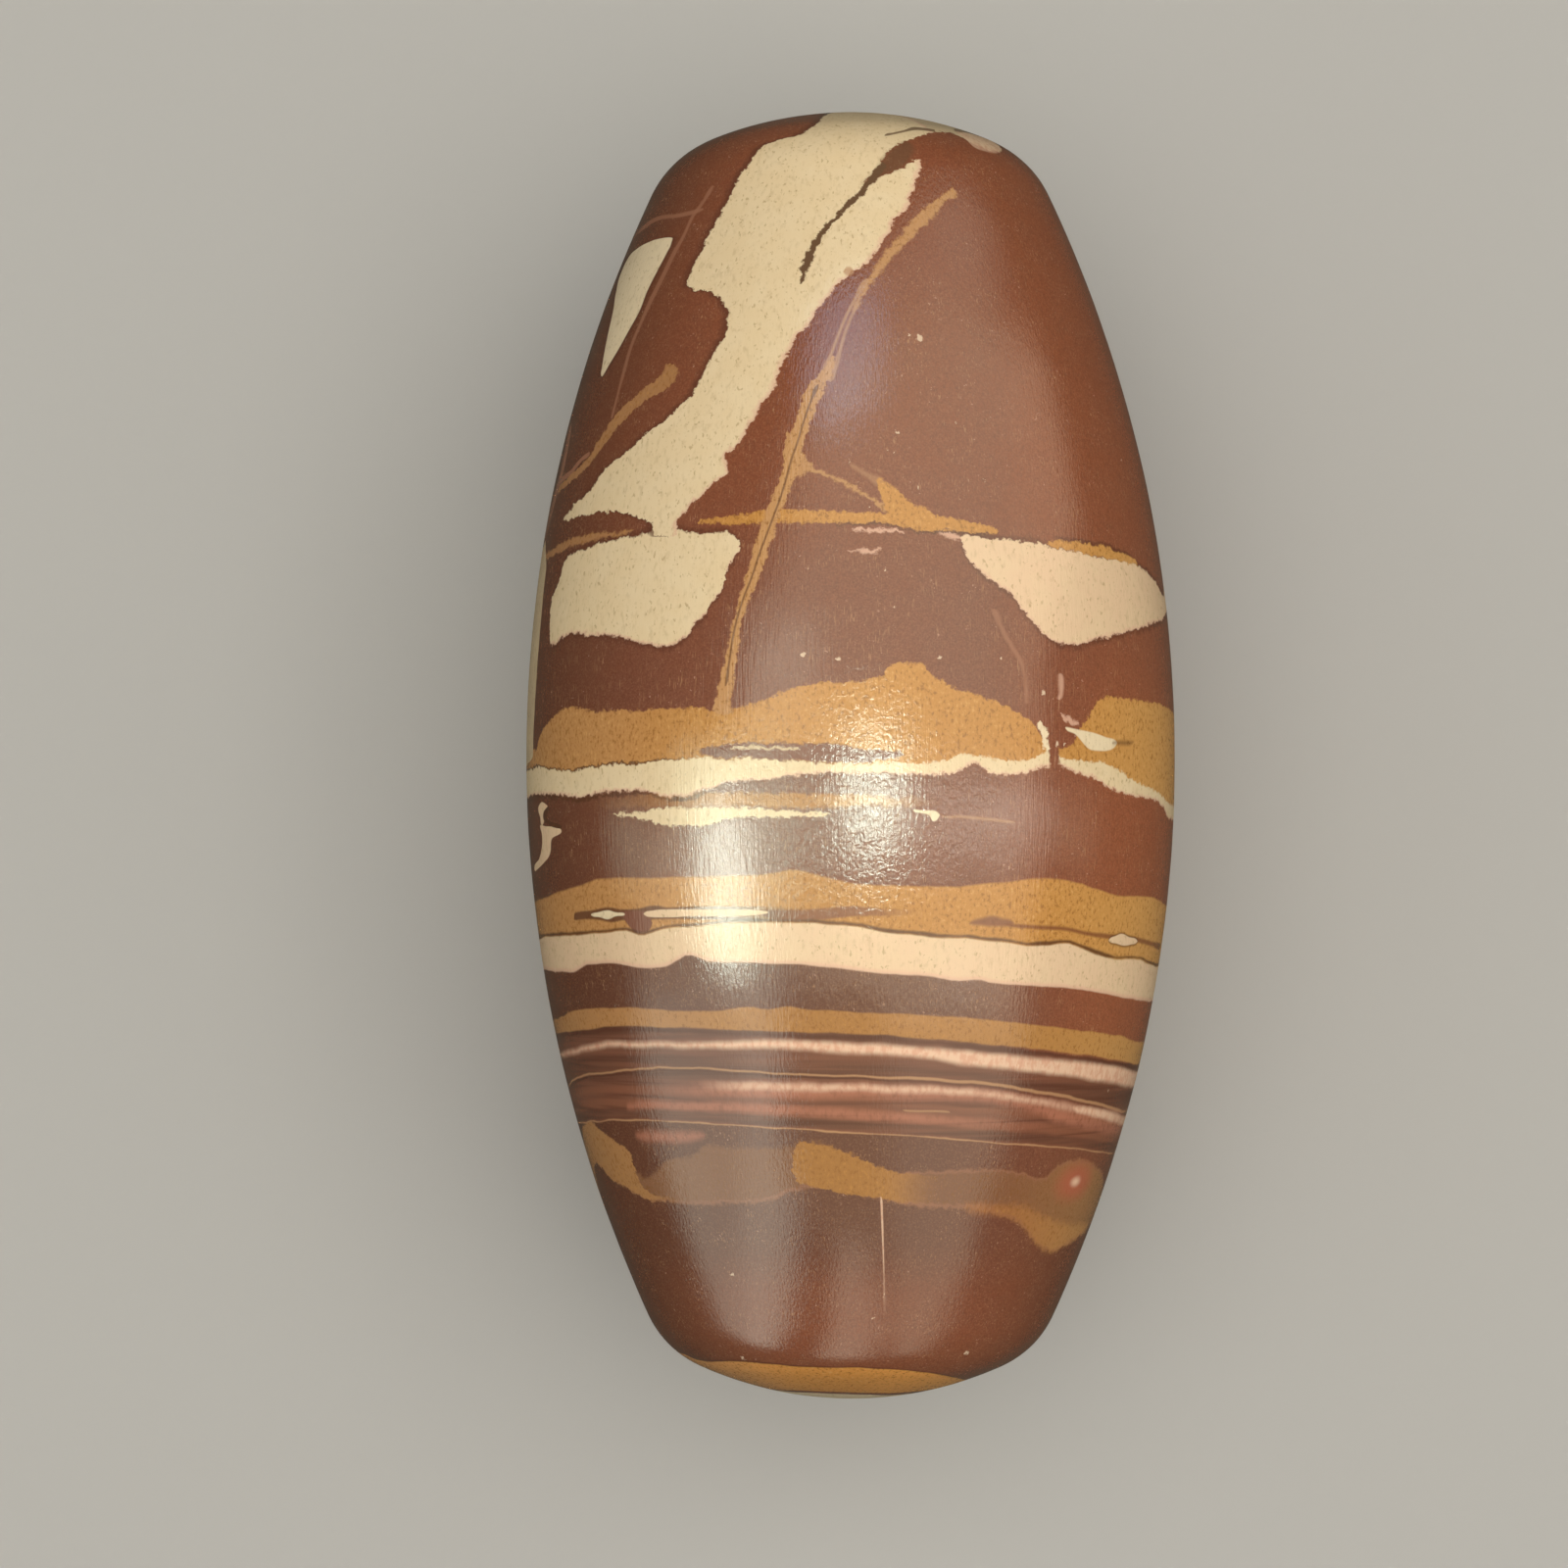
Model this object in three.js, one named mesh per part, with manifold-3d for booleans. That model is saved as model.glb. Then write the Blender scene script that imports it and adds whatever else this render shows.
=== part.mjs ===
// A polished shiva lingam stone of banded jasper, lying on its side.
// Millimetres, +Z up. The long axis runs along Y, and the origin is the middle of the small
// flat on the underside, so the surface that the stone rests on is the plane Z = 0.

import * as THREE from "three";
import { mergeVertices } from "three/addons/utils/BufferGeometryUtils.js";
import Module from "manifold-3d";

// Driving dimensions
const length = 100;
const bellyWidth = 50.6;
const bellyHeight = 49.8; // before the flat is ground: shaped by hand, a little less high than wide
const sideArcRadius = 104; // the long curve from one shoulder to the other
const capArcRadius = 28.7; // the shallow dome of each end
const shoulderRadius = 7.8; // the round between side and dome
const restDepth = 0.5; // how deep the flat on the underside is ground

// Fineness of the solid
const segmentsRound = 88;
const stepsOnCap = 6;
const stepsOnShoulder = 6;
const stepsOnSide = 15;

// Corners of the lathe's rows nearer than this are one corner.
const sameCorner = 1e-4;

const bellyRadius = bellyWidth / 2;
const halfLength = length / 2;

// The outline lies in the plane of radius (x) and long axis (y). One half of it is three arcs,
// from the tip of the end to the belly, each touching the next without a corner.
function arcsOfHalf() {
  const side = new THREE.Vector2(bellyRadius - sideArcRadius, 0);
  const cap = new THREE.Vector2(0, halfLength - capArcRadius);
  const shoulder = shoulderCentre(side, cap);
  const capEnd = shoulder.clone().sub(cap).angle();
  const sideEnd = shoulder.clone().sub(side).angle();
  return [
    { centre: cap, radius: capArcRadius, from: Math.PI / 2, to: capEnd, steps: stepsOnCap },
    { centre: shoulder, radius: shoulderRadius, from: capEnd, to: sideEnd, steps: stepsOnShoulder },
    { centre: side, radius: sideArcRadius, from: sideEnd, to: 0, steps: stepsOnSide },
  ];
}

// The shoulder touches both other arcs from inside, so its centre is as far from each of their
// centres as their radii less its own: it is where two circles of those radii cross.
function shoulderCentre(side, cap) {
  const toSide = sideArcRadius - shoulderRadius;
  const toCap = capArcRadius - shoulderRadius;
  const between = cap.clone().sub(side);
  const gap = between.length();
  const along = (toSide ** 2 - toCap ** 2 + gap ** 2) / (2 * gap);
  const across = Math.sqrt(toSide ** 2 - along ** 2);
  const unit = between.normalize();
  const towardsEnd = new THREE.Vector2(-unit.y, unit.x);
  return side.clone().addScaledVector(unit, along).addScaledVector(towardsEnd, across);
}

// The whole outline, from the end at -Y to the end at +Y.
function outline() {
  const half = [new THREE.Vector2(0, halfLength)];
  for (const arc of arcsOfHalf()) {
    for (let step = 1; step <= arc.steps; step++) {
      const angle = THREE.MathUtils.lerp(arc.from, arc.to, step / arc.steps);
      const reach = new THREE.Vector2(Math.cos(angle), Math.sin(angle)).multiplyScalar(arc.radius);
      half.push(reach.add(arc.centre));
    }
  }
  const otherHalf = half.slice(0, -1).map((point) => new THREE.Vector2(point.x, -point.y));
  return [...otherHalf, ...half.reverse()];
}

const wasm = await Module();
wasm.setup();

// A closed three.js geometry as a solid that can be cut. The triangles that have no width,
// at the two tips, are left out.
function solidFrom(geometry) {
  const bare = geometry.clone();
  bare.deleteAttribute("normal");
  bare.deleteAttribute("uv");
  const merged = mergeVertices(bare, sameCorner);
  const corners = merged.index.array;
  const faces = [];
  for (let i = 0; i < corners.length; i += 3) {
    const [a, b, c] = corners.slice(i, i + 3);
    if (a !== b && b !== c && c !== a) faces.push(a, b, c);
  }
  return new wasm.Manifold(
    new wasm.Mesh({
      numProp: 3,
      vertProperties: merged.attributes.position.array,
      triVerts: new Uint32Array(faces),
    }),
  );
}

// A solid back as a three.js geometry.
function geometryFrom(solid) {
  const mesh = solid.getMesh();
  const geometry = new THREE.BufferGeometry();
  geometry.setAttribute("position", new THREE.BufferAttribute(mesh.vertProperties, 3));
  geometry.setIndex(new THREE.BufferAttribute(mesh.triVerts, 1));
  geometry.computeVertexNormals();
  return geometry;
}

// The outline turned about the long axis and flattened a little, then raised so that the
// plane Z = 0 takes off the flat that it rests on.
function stoneGeometry() {
  const barrel = new THREE.LatheGeometry(outline(), segmentsRound);
  barrel.scale(1, 1, bellyHeight / bellyWidth);
  barrel.translate(0, 0, bellyHeight / 2 - restDepth);
  const below = new THREE.BoxGeometry(bellyWidth, length, bellyHeight);
  below.translate(0, 0, -bellyHeight / 2);
  return geometryFrom(solidFrom(barrel).subtract(solidFrom(below)));
}

const jasper = new THREE.MeshStandardMaterial({
  color: new THREE.Color("rgb(122, 76, 62)"),
  roughness: 0.3,
  metalness: 0,
});

const stone = new THREE.Mesh(stoneGeometry(), jasper);
stone.name = "lingam_stone";

const part = new THREE.Group();
part.add(stone);

export default part;
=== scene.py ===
import math
from functools import cache

import bpy
import numpy as np
from mathutils import Matrix, Vector, noise
from mathutils.geometry import delaunay_2d_cdt


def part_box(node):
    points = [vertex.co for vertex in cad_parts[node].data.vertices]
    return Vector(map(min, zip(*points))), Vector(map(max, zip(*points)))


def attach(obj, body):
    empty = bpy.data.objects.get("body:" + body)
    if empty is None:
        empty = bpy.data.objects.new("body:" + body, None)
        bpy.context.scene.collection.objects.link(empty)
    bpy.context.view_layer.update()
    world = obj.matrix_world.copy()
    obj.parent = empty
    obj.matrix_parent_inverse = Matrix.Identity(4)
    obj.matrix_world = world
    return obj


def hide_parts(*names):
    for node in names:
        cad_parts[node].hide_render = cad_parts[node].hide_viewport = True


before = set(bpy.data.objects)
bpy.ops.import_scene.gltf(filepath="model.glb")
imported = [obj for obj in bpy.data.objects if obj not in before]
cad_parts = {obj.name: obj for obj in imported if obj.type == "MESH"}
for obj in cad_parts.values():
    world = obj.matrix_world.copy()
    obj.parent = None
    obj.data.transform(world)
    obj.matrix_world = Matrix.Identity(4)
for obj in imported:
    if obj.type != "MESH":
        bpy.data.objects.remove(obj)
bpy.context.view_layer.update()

# Lengths are metres, angles degrees. Pixels are those of the 1600 pixel photo.
photo = {
    "size": 1600,
    "stoneMiddle": (867.5, 768.6),  # where the middle of the stone shows
    "frameSide": 0.1227,            # what the photo's side spans at the stone
    "elevation": 87,
    "cameraDistance": 0.3,
}

# The arcs of the outline are those of the solid; the overall sizes come from its box.
stone = {
    "node": "lingam_stone",
    "slot": "polished_jasper",
    "sideArc": 0.104,
    "capArc": 0.0287,
    "shoulder": 0.0078,
    "restDepth": 0.0005,    # how deep the flat on the underside is ground
    "rowsAlong": 264,
    "stepsRound": 320,
    "lumpSize": 0.009,
    "lumpHeight": 0.00005,
    "rippleSize": 0.0028,
    "rippleHeight": 0.000010,
}

low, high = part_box(stone["node"])
length = high.y - low.y
width = high.x - low.x
height = high.z - low.z + stone["restDepth"]
axisHeight = high.z - height / 2
flattening = height / width


# Centre of the shoulder's arc, which touches the side's and the cap's from inside.
def shoulderCentre(side, cap):
    toSide = stone["sideArc"] - stone["shoulder"]
    toCap = stone["capArc"] - stone["shoulder"]
    between = cap - side
    gap = between.length
    along = (toSide ** 2 - toCap ** 2 + gap ** 2) / (2 * gap)
    across = math.sqrt(toSide ** 2 - along ** 2)
    unit = between / gap
    return side + unit * along + Vector((-unit.y, unit.x)) * across


# Half the outline as arcs from the belly to the tip: centre, radius, first and last angle,
# and how far along the outline each starts. x is the radius and y the long axis.
def outlineArcs():
    side = Vector((width / 2 - stone["sideArc"], 0))
    cap = Vector((0, length / 2 - stone["capArc"]))
    shoulder = shoulderCentre(side, cap)
    sideEnd = math.atan2(shoulder.y - side.y, shoulder.x - side.x)
    capEnd = math.atan2(shoulder.y - cap.y, shoulder.x - cap.x)
    arcs = []
    start = 0
    for centre, radius, first, last in (
        (side, stone["sideArc"], 0, sideEnd),
        (shoulder, stone["shoulder"], sideEnd, capEnd),
        (cap, stone["capArc"], capEnd, math.pi / 2),
    ):
        arcs.append({"centre": centre, "radius": radius, "first": first, "last": last, "start": start})
        start += radius * (last - first)
    return arcs, start


arcs, halfOutline = outlineArcs()


# The outline at a way along it, from -halfOutline to halfOutline: radius, place on the axis
# and the slope of the surface there.
def outlineAt(way):
    arc = [a for a in arcs if abs(way) >= a["start"]][-1]
    angle = arc["first"] + (abs(way) - arc["start"]) / arc["radius"]
    point = arc["centre"] + Vector((math.cos(angle), math.sin(angle))) * arc["radius"]
    return max(point.x, 0), math.copysign(point.y, way), math.copysign(angle, way)


# The other way round: radius of the stone and way along its outline at a place on the axis.
def outlineOver(place):
    for arc in arcs:
        sine = (abs(place) - arc["centre"].y) / arc["radius"]
        angle = math.asin(min(sine, 1))
        if angle <= arc["last"] + 1e-9:
            break
    radius = arc["centre"].x + arc["radius"] * math.cos(angle)
    way = arc["start"] + arc["radius"] * (angle - arc["first"])
    return radius, math.copysign(way, place)


# Camera first, because the markings are placed through it.
def cameraAxes():
    tilt = math.radians(photo["elevation"])
    view = Vector((0, math.cos(tilt), -math.sin(tilt)))
    up = Vector((0, math.sin(tilt), math.cos(tilt)))
    right = Vector((1, 0, 0))
    perPixel = photo["frameSide"] / photo["size"]
    fromCentre = (photo["stoneMiddle"][0] - photo["size"] / 2, photo["size"] / 2 - photo["stoneMiddle"][1])
    aim = Vector((0, 0, axisHeight)) - (right * fromCentre[0] + up * fromCentre[1]) * perPixel
    return view, up, right, perPixel, aim - view * photo["cameraDistance"]


view, up, right, perPixel, cameraPlace = cameraAxes()


def makeCamera():
    data = bpy.data.cameras.new("photoCamera")
    data.sensor_width = 36
    data.lens = data.sensor_width * photo["cameraDistance"] / photo["frameSide"]
    data.clip_start = 0.01
    camera = bpy.data.objects.new("photoCamera", data)
    camera.location = cameraPlace
    camera.rotation_euler = Matrix((right, up, -view)).transposed().to_euler()
    bpy.context.scene.collection.objects.link(camera)
    bpy.context.scene.camera = camera


def rayThrough(pixel):
    across = (pixel[0] - photo["size"] / 2) * perPixel
    upward = (photo["size"] / 2 - pixel[1]) * perPixel
    return (view * photo["cameraDistance"] + right * across + up * upward).normalized()


# How far a point is outside the smooth stone, as a share of the radius there.
def outside(point):
    if abs(point.y) >= length / 2:
        return 1 + abs(point.y) - length / 2
    radius, way = outlineOver(point.y)
    return math.hypot(point.x, (point.z - axisHeight) / flattening) / max(radius, 1e-6) - 1


# Where the sight line through a pixel meets the stone. A pixel just off the stone takes the
# nearest point of its edge.
def onStone(pixel):
    ray = rayThrough(pixel)
    steps = 240
    nearest = photo["cameraDistance"] - width * 0.6
    farthest = photo["cameraDistance"] + width * 0.3
    best = None
    last = nearest
    for i in range(steps + 1):
        reach = nearest + (farthest - nearest) * i / steps
        gap = outside(cameraPlace + ray * reach)
        if best is None or gap < best[0]:
            best = (gap, reach)
        if gap <= 0:
            inner = reach
            for halving in range(30):
                middle = (last + inner) / 2
                if outside(cameraPlace + ray * middle) > 0:
                    last = middle
                else:
                    inner = middle
            best = (0, inner)
            break
        last = reach
    return cameraPlace + ray * best[1]


# A point's place on the unrolled stone: how far round (0.5 on top, 0.75 on the right) and
# how far along (0 at the tip near the photo's bottom, 1 at the other).
def unroll(point):
    turn = math.atan2(point.x, (point.z - axisHeight) / flattening)
    place = max(-length / 2, min(length / 2, point.y))
    way = outlineOver(place)[1]
    return 0.5 + turn / math.tau, 0.5 + way / (2 * halfOutline)


@cache
def fromPixel(pixel):
    return unroll(onStone(pixel))


# A place that the photo doesn't show, from degrees over the top to the right and
# millimetres along the outline from the belly.
def fromBehind(degrees, millimetres):
    turn = (degrees + 180) % 360 - 180
    return 0.5 + turn / 360, 0.5 + millimetres / 1000 / (2 * halfOutline)


makeCamera()
print("camera set")


def buildStone():
    rows = stone["rowsAlong"]
    steps = stone["stepsRound"]
    corners = []
    for row in range(1, rows):
        way = halfOutline * (2 * row / rows - 1)
        radius, place, slope = outlineAt(way)
        for step in range(steps):
            turn = math.tau * (step / steps - 0.5)
            around = Vector((math.sin(turn), 0, flattening * math.cos(turn)))
            point = around * radius + Vector((0, place, axisHeight))
            normal = (around * math.cos(slope) + Vector((0, math.sin(slope), 0))).normalized()
            lump = noise.noise(point / stone["lumpSize"]) * stone["lumpHeight"]
            ripple = noise.noise(point / stone["rippleSize"]) * stone["rippleHeight"]
            point += normal * (lump + ripple - stone["lumpHeight"] / 2)
            point.z = max(point.z, 0)
            corners.append(point)
    lowTip = len(corners)
    corners.append(Vector((0, -length / 2, axisHeight)))
    corners.append(Vector((0, length / 2, axisHeight)))
    faces = []
    wrapUv = []
    for row in range(rows):
        below = (row - 1) * steps
        above = row * steps
        for step in range(steps):
            after = (step + 1) % steps
            here = (step / steps, (step + 1) / steps)
            lowV, highV = row / rows, (row + 1) / rows
            if row == 0:
                faces.append((lowTip, above + after, above + step))
                wrapUv += [((here[0] + here[1]) / 2, 0), (here[1], highV), (here[0], highV)]
            elif row == rows - 1:
                faces.append((below + step, below + after, lowTip + 1))
                wrapUv += [(here[0], lowV), (here[1], lowV), ((here[0] + here[1]) / 2, 1)]
            else:
                faces.append((below + step, below + after, above + after, above + step))
                wrapUv += [(here[0], lowV), (here[1], lowV), (here[1], highV), (here[0], highV)]
    mesh = bpy.data.meshes.new("lingamStone")
    mesh.from_pydata(corners, [], faces)
    layer = mesh.uv_layers.new(name="unrolled")
    layer.data.foreach_set("uv", np.array(wrapUv, np.float32).ravel())
    mesh.shade_smooth()
    mesh.update()
    piece = bpy.data.objects.new("lingamStone", mesh)
    bpy.context.scene.collection.objects.link(piece)
    return piece


piece = buildStone()
print("stone:", len(piece.data.vertices), "corners")


# Colours as they look in the photo, away from the highlights, from 0 to 255.
def paint(red, green, blue):
    linear = []
    for value in (red, green, blue):
        value /= 255
        linear.append(value / 12.92 if value <= 0.04045 else ((value + 0.055) / 1.055) ** 2.4)
    return (*linear, 1)


jasper = {
    "bodyPurple": paint(128, 79, 59),
    "bodyRed": paint(136, 77, 50),
    # Painted shade: the darkened body colour below is laid on the left side and at the lower right end.
    "bodyPaintedShade": paint(98, 55, 36),
    "bodyPlum": paint(104, 66, 50),
    # Partly the stone's redder tone, partly painted light: a lighter copy of the red body for the right side.
    "bodyRedPaintedLight": paint(154, 88, 57),
    "bodyDark": paint(92, 52, 36),
    "cream": paint(230, 206, 165),
    "creamPale": paint(236, 216, 180),
    "creamPink": paint(230, 198, 162),
    "pit": paint(172, 144, 102),
    "ochre": paint(194, 137, 68),
    "ochreDark": paint(146, 96, 42),
    "ochreLight": paint(224, 176, 108),
    "ochreBrown": paint(160, 110, 62),
    "ochreDeep": paint(176, 124, 66),
    "ochreBlob": paint(172, 120, 62),
    "ochreSoft": paint(194, 144, 92),
    "tan": paint(186, 140, 100),
    "tanFaint": paint(156, 106, 80),
    "darkLine": paint(90, 54, 32),
    "fissure": paint(106, 78, 54),
    "pinkRim": paint(222, 176, 150),
    "pink": paint(206, 134, 106),
    "pinkPale": paint(232, 194, 164),
    "salmon": paint(136, 85, 62),
    "redSpot": paint(180, 98, 72),
    "ochreDull": paint(136, 92, 62),
    "ochreWarm": paint(160, 102, 58),
    "ochreRing": paint(227, 158, 79),
    "salmonDark": paint(120, 75, 56),
    "lamina": paint(106, 67, 50),
    "lineBrown": paint(130, 78, 46),
    # Painted shade: cream darkened, laid on the shaded cap and along the left edge.
    "creamGrey": paint(206, 184, 148),
    "fleck": paint(232, 206, 176),
}


# Small makers of nodes. A value is a number, a colour or another node's output.
def feed(tree, value, socket):
    if isinstance(value, bpy.types.NodeSocket):
        tree.links.new(value, socket)
    else:
        socket.default_value = value


def calc(tree, operation, *values, clamp=False):
    node = tree.nodes.new("ShaderNodeMath")
    node.operation = operation
    node.use_clamp = clamp
    for socket, value in zip(node.inputs, values):
        feed(tree, value, socket)
    return node.outputs[0]


def ease(tree, value, start, end, low=0.0, high=1.0):
    node = tree.nodes.new("ShaderNodeMapRange")
    node.interpolation_type = "SMOOTHSTEP"
    for title, number in (("Value", value), ("From Min", start), ("From Max", end),
                          ("To Min", low), ("To Max", high)):
        feed(tree, number, node.inputs[title])
    return node.outputs["Result"]


def blendColour(tree, share, below, above, kind="MIX"):
    node = tree.nodes.new("ShaderNodeMix")
    node.data_type = "RGBA"
    node.blend_type = kind
    feed(tree, share, node.inputs[0])
    feed(tree, below, node.inputs[6])
    feed(tree, above, node.inputs[7])
    return node.outputs[2]


def blotches(tree, place, perMillimetre, detail=2.0, roughness=0.5, distortion=0.0, stretch=None):
    if stretch:
        scaled = tree.nodes.new("ShaderNodeVectorMath")
        scaled.operation = "MULTIPLY"
        feed(tree, place, scaled.inputs[0])
        feed(tree, stretch, scaled.inputs[1])
        place = scaled.outputs[0]
    node = tree.nodes.new("ShaderNodeTexNoise")
    feed(tree, place, node.inputs["Vector"])
    for title, number in (("Scale", perMillimetre), ("Detail", detail), ("Roughness", roughness),
                          ("Distortion", distortion)):
        feed(tree, number, node.inputs[title])
    return node


def makeGroup(name, inputs, outputs):
    group = bpy.data.node_groups.new(name, "ShaderNodeTree")
    for title, kind, value in inputs:
        socket = group.interface.new_socket(title, in_out="INPUT", socket_type=kind)
        socket.default_value = value
    for title, kind in outputs:
        group.interface.new_socket(title, in_out="OUTPUT", socket_type=kind)
    return group, group.nodes.new("NodeGroupInput").outputs, group.nodes.new("NodeGroupOutput").inputs


# A marking between two edges, and how far inside each of them a place is, in millimetres.
def betweenEdgesGroup():
    number = "NodeSocketFloat"
    group, inputs, outputs = makeGroup(
        "betweenEdges",
        [("Value", number, 0), ("Low Edge", number, 0), ("High Edge", number, 0),
         ("Millimetres", number, 1), ("Soft", number, 0.1), ("Strength", number, 1)],
        [("Mask", number), ("From Low", number), ("From High", number)],
    )
    fromLow = calc(group, "SUBTRACT", inputs["Value"], inputs["Low Edge"])
    fromHigh = calc(group, "SUBTRACT", inputs["High Edge"], inputs["Value"])
    depth = calc(group, "MULTIPLY", calc(group, "MINIMUM", fromLow, fromHigh), inputs["Millimetres"])
    half = calc(group, "MULTIPLY", inputs["Soft"], 0.5)
    mask = ease(group, depth, calc(group, "MULTIPLY", half, -1.0), half)
    group.links.new(calc(group, "MULTIPLY", mask, inputs["Strength"]), outputs["Mask"])
    for title, gap in (("From Low", fromLow), ("From High", fromHigh)):
        group.links.new(calc(group, "MULTIPLY", gap, inputs["Millimetres"]), outputs[title])
    return group


# A thin line along a curve. Width is in millimetres and swells and thins with Wobble.
def thinLineGroup():
    number = "NodeSocketFloat"
    group, inputs, outputs = makeGroup(
        "thinLine",
        [("Value", number, 0), ("Centre", number, 0), ("Millimetres", number, 1), ("Wobble", number, 0.5),
         ("Width", number, 0.2), ("Soft", number, 0.15), ("Strength", number, 1)],
        [("Mask", number)],
    )
    off = calc(group, "ABSOLUTE", calc(group, "SUBTRACT", inputs["Value"], inputs["Centre"]))
    swell = calc(group, "MULTIPLY_ADD", inputs["Wobble"], 1.4, -0.2)
    reach = calc(group, "MULTIPLY", calc(group, "MULTIPLY", inputs["Width"], 0.5), swell)
    depth = calc(group, "SUBTRACT", reach, calc(group, "MULTIPLY", off, inputs["Millimetres"]))
    half = calc(group, "MULTIPLY", inputs["Soft"], 0.5)
    mask = ease(group, depth, calc(group, "MULTIPLY", half, -1.0), half)
    group.links.new(calc(group, "MULTIPLY", mask, inputs["Strength"]), outputs["Mask"])
    return group


betweenEdges = betweenEdgesGroup()
thinLine = thinLineGroup()


def place(tree, group, **values):
    node = tree.nodes.new("ShaderNodeGroup")
    node.node_tree = group
    for title, value in values.items():
        feed(tree, value, node.inputs[title.replace("_", " ")])
    return node.outputs


# The curve through (run, value) points, both from 0 to 1. Past its ends it stays level.
def curveThrough(tree, label, points, run):
    kept = []
    for point in sorted(points):
        if not kept or point[0] - kept[-1][0] > 2e-4:
            kept.append(point)
    node = tree.nodes.new("ShaderNodeFloatCurve")
    node.label = label
    mapping = node.mapping
    mapping.clip_min_x = kept[0][0]
    mapping.clip_max_x = kept[-1][0]
    mapping.clip_min_y = min(value for run, value in kept)
    mapping.clip_max_y = max(value for run, value in kept)
    mapping.extend = "HORIZONTAL"
    curve = mapping.curves[0]
    curve.points[0].location = kept[0]
    curve.points[1].location = kept[-1]
    for point in kept[1:-1]:
        curve.points.new(*point)
    for point in curve.points:
        point.handle_type = "AUTO_CLAMPED"
    mapping.update()
    feed(tree, run, node.inputs["Value"])
    return node.outputs[0]


# The markings, in the order in which they cover one another. Edges are pixels of the photo. A mark
# with a top and a bottom runs round the stone, and one with a left and a right runs along it.
# "ring" goes right round, and "ends" says at which ends the edges meet. "behind" gives places that
# the photo doesn't show, in degrees over the top to the right and millimetres from the belly.
lowerMarks = [
    {"name": "endCream", "paint": "creamPale", "ring": True, "soft": 0.25, "floor": True,
     "top": [(774, 1419), (820, 1421), (850, 1422), (880, 1423), (920, 1423)]},
    {"name": "endHeart", "paint": "ochreBrown", "ring": True, "soft": 0.6, "floor": True, "rough": True,
     "top": [], "topBehind": [(-180, -58.5), (-90, -59.5), (0, -60.5), (90, -59)]},
    {"name": "endRing", "paint": "ochreRing", "ring": True, "soft": 0.15,
     "top": [(696, 1381), (712, 1388), (760, 1390), (830, 1395), (901, 1397), (948, 1401), (972, 1405),
             (995, 1407)],
     "bottom": [(774, 1417), (820, 1419), (850, 1420), (880, 1421), (920, 1421)],
     "lines": [{"edge": "top", "paint": "bodyDark", "width": 0.3, "shift": 0.05, "soft": 0.3}]},
    {"name": "blobBand", "paint": "ochreDull", "ends": "both", "soft": 0.5, "rough": True,
     "strength": 0.6,
     "top": [(601, 1143), (612, 1153), (630, 1167), (642, 1175), (647, 1190), (657, 1202), (672, 1193),
             (683, 1184), (709, 1179), (725, 1169), (749, 1171), (785, 1172), (817, 1167), (833, 1165),
             (849, 1171), (865, 1176), (881, 1185), (893, 1191), (910, 1197), (962, 1195), (1002, 1193),
             (1042, 1197), (1062, 1204), (1080, 1190), (1100, 1184), (1118, 1190), (1126, 1205)],
     "bottom": [(608, 1187), (624, 1203), (640, 1213), (664, 1225), (701, 1228), (741, 1228),
                (785, 1225), (809, 1216), (833, 1212), (857, 1214), (881, 1221), (910, 1226), (934, 1231),
                (970, 1233), (1002, 1233), (1026, 1241), (1046, 1253), (1058, 1269), (1074, 1277),
                (1086, 1271), (1102, 1261), (1116, 1245)],
     "topBehind": [(-95, -34), (-120, -36), (100, -40)],
     "bottomBehind": [(-95, -41), (-120, -42), (100, -42)],
     "lines": [{"edge": "bottom", "paint": "tanFaint", "width": 0.3, "shift": 0.12, "soft": 0.4},
               {"edge": "top", "paint": "tanFaint", "width": 0.2, "shift": -0.1, "soft": 0.4, "from": 900}]},
    {"name": "blobLeft", "paint": "ochreBlob", "ends": "both", "soft": 0.2, "rough": True,
     "fade": [((655, 1215), (700, 1226))],
     "top": [(600, 1145), (612, 1153), (630, 1167), (642, 1175), (647, 1188), (652, 1204), (660, 1216),
             (680, 1222), (720, 1224)],
     "bottom": [(608, 1187), (624, 1203), (640, 1213), (664, 1225), (701, 1228), (720, 1228)],
     "topBehind": [(-95, -34), (-115, -37)], "bottomBehind": [(-95, -41), (-115, -40)]},
    {"name": "blobMiddle", "paint": "ochreBlob", "ends": "both", "soft": 0.2, "rough": True,
     "fade": [((900, 1205), (962, 1215))],
     "top": [(809, 1188), (811, 1173), (819, 1166), (835, 1168), (849, 1171), (865, 1177), (881, 1184),
             (893, 1190), (915, 1196), (940, 1200), (965, 1203)],
     "bottom": [(809, 1196), (811, 1204), (832, 1211), (850, 1216), (875, 1221), (900, 1224), (937, 1229),
                (965, 1231)]},
    {"name": "blobRight", "paint": "ochreWarm", "ends": "both", "soft": 0.9, "rough": True, "strength": 0.85,
     "top": [(985, 1229), (1010, 1229), (1030, 1229), (1045, 1231), (1060, 1238), (1075, 1245),
             (1095, 1250), (1110, 1249)],
     "bottom": [(985, 1233), (1026, 1241), (1046, 1253), (1058, 1269), (1074, 1277), (1086, 1271),
                (1102, 1261), (1110, 1253)]},
]

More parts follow.
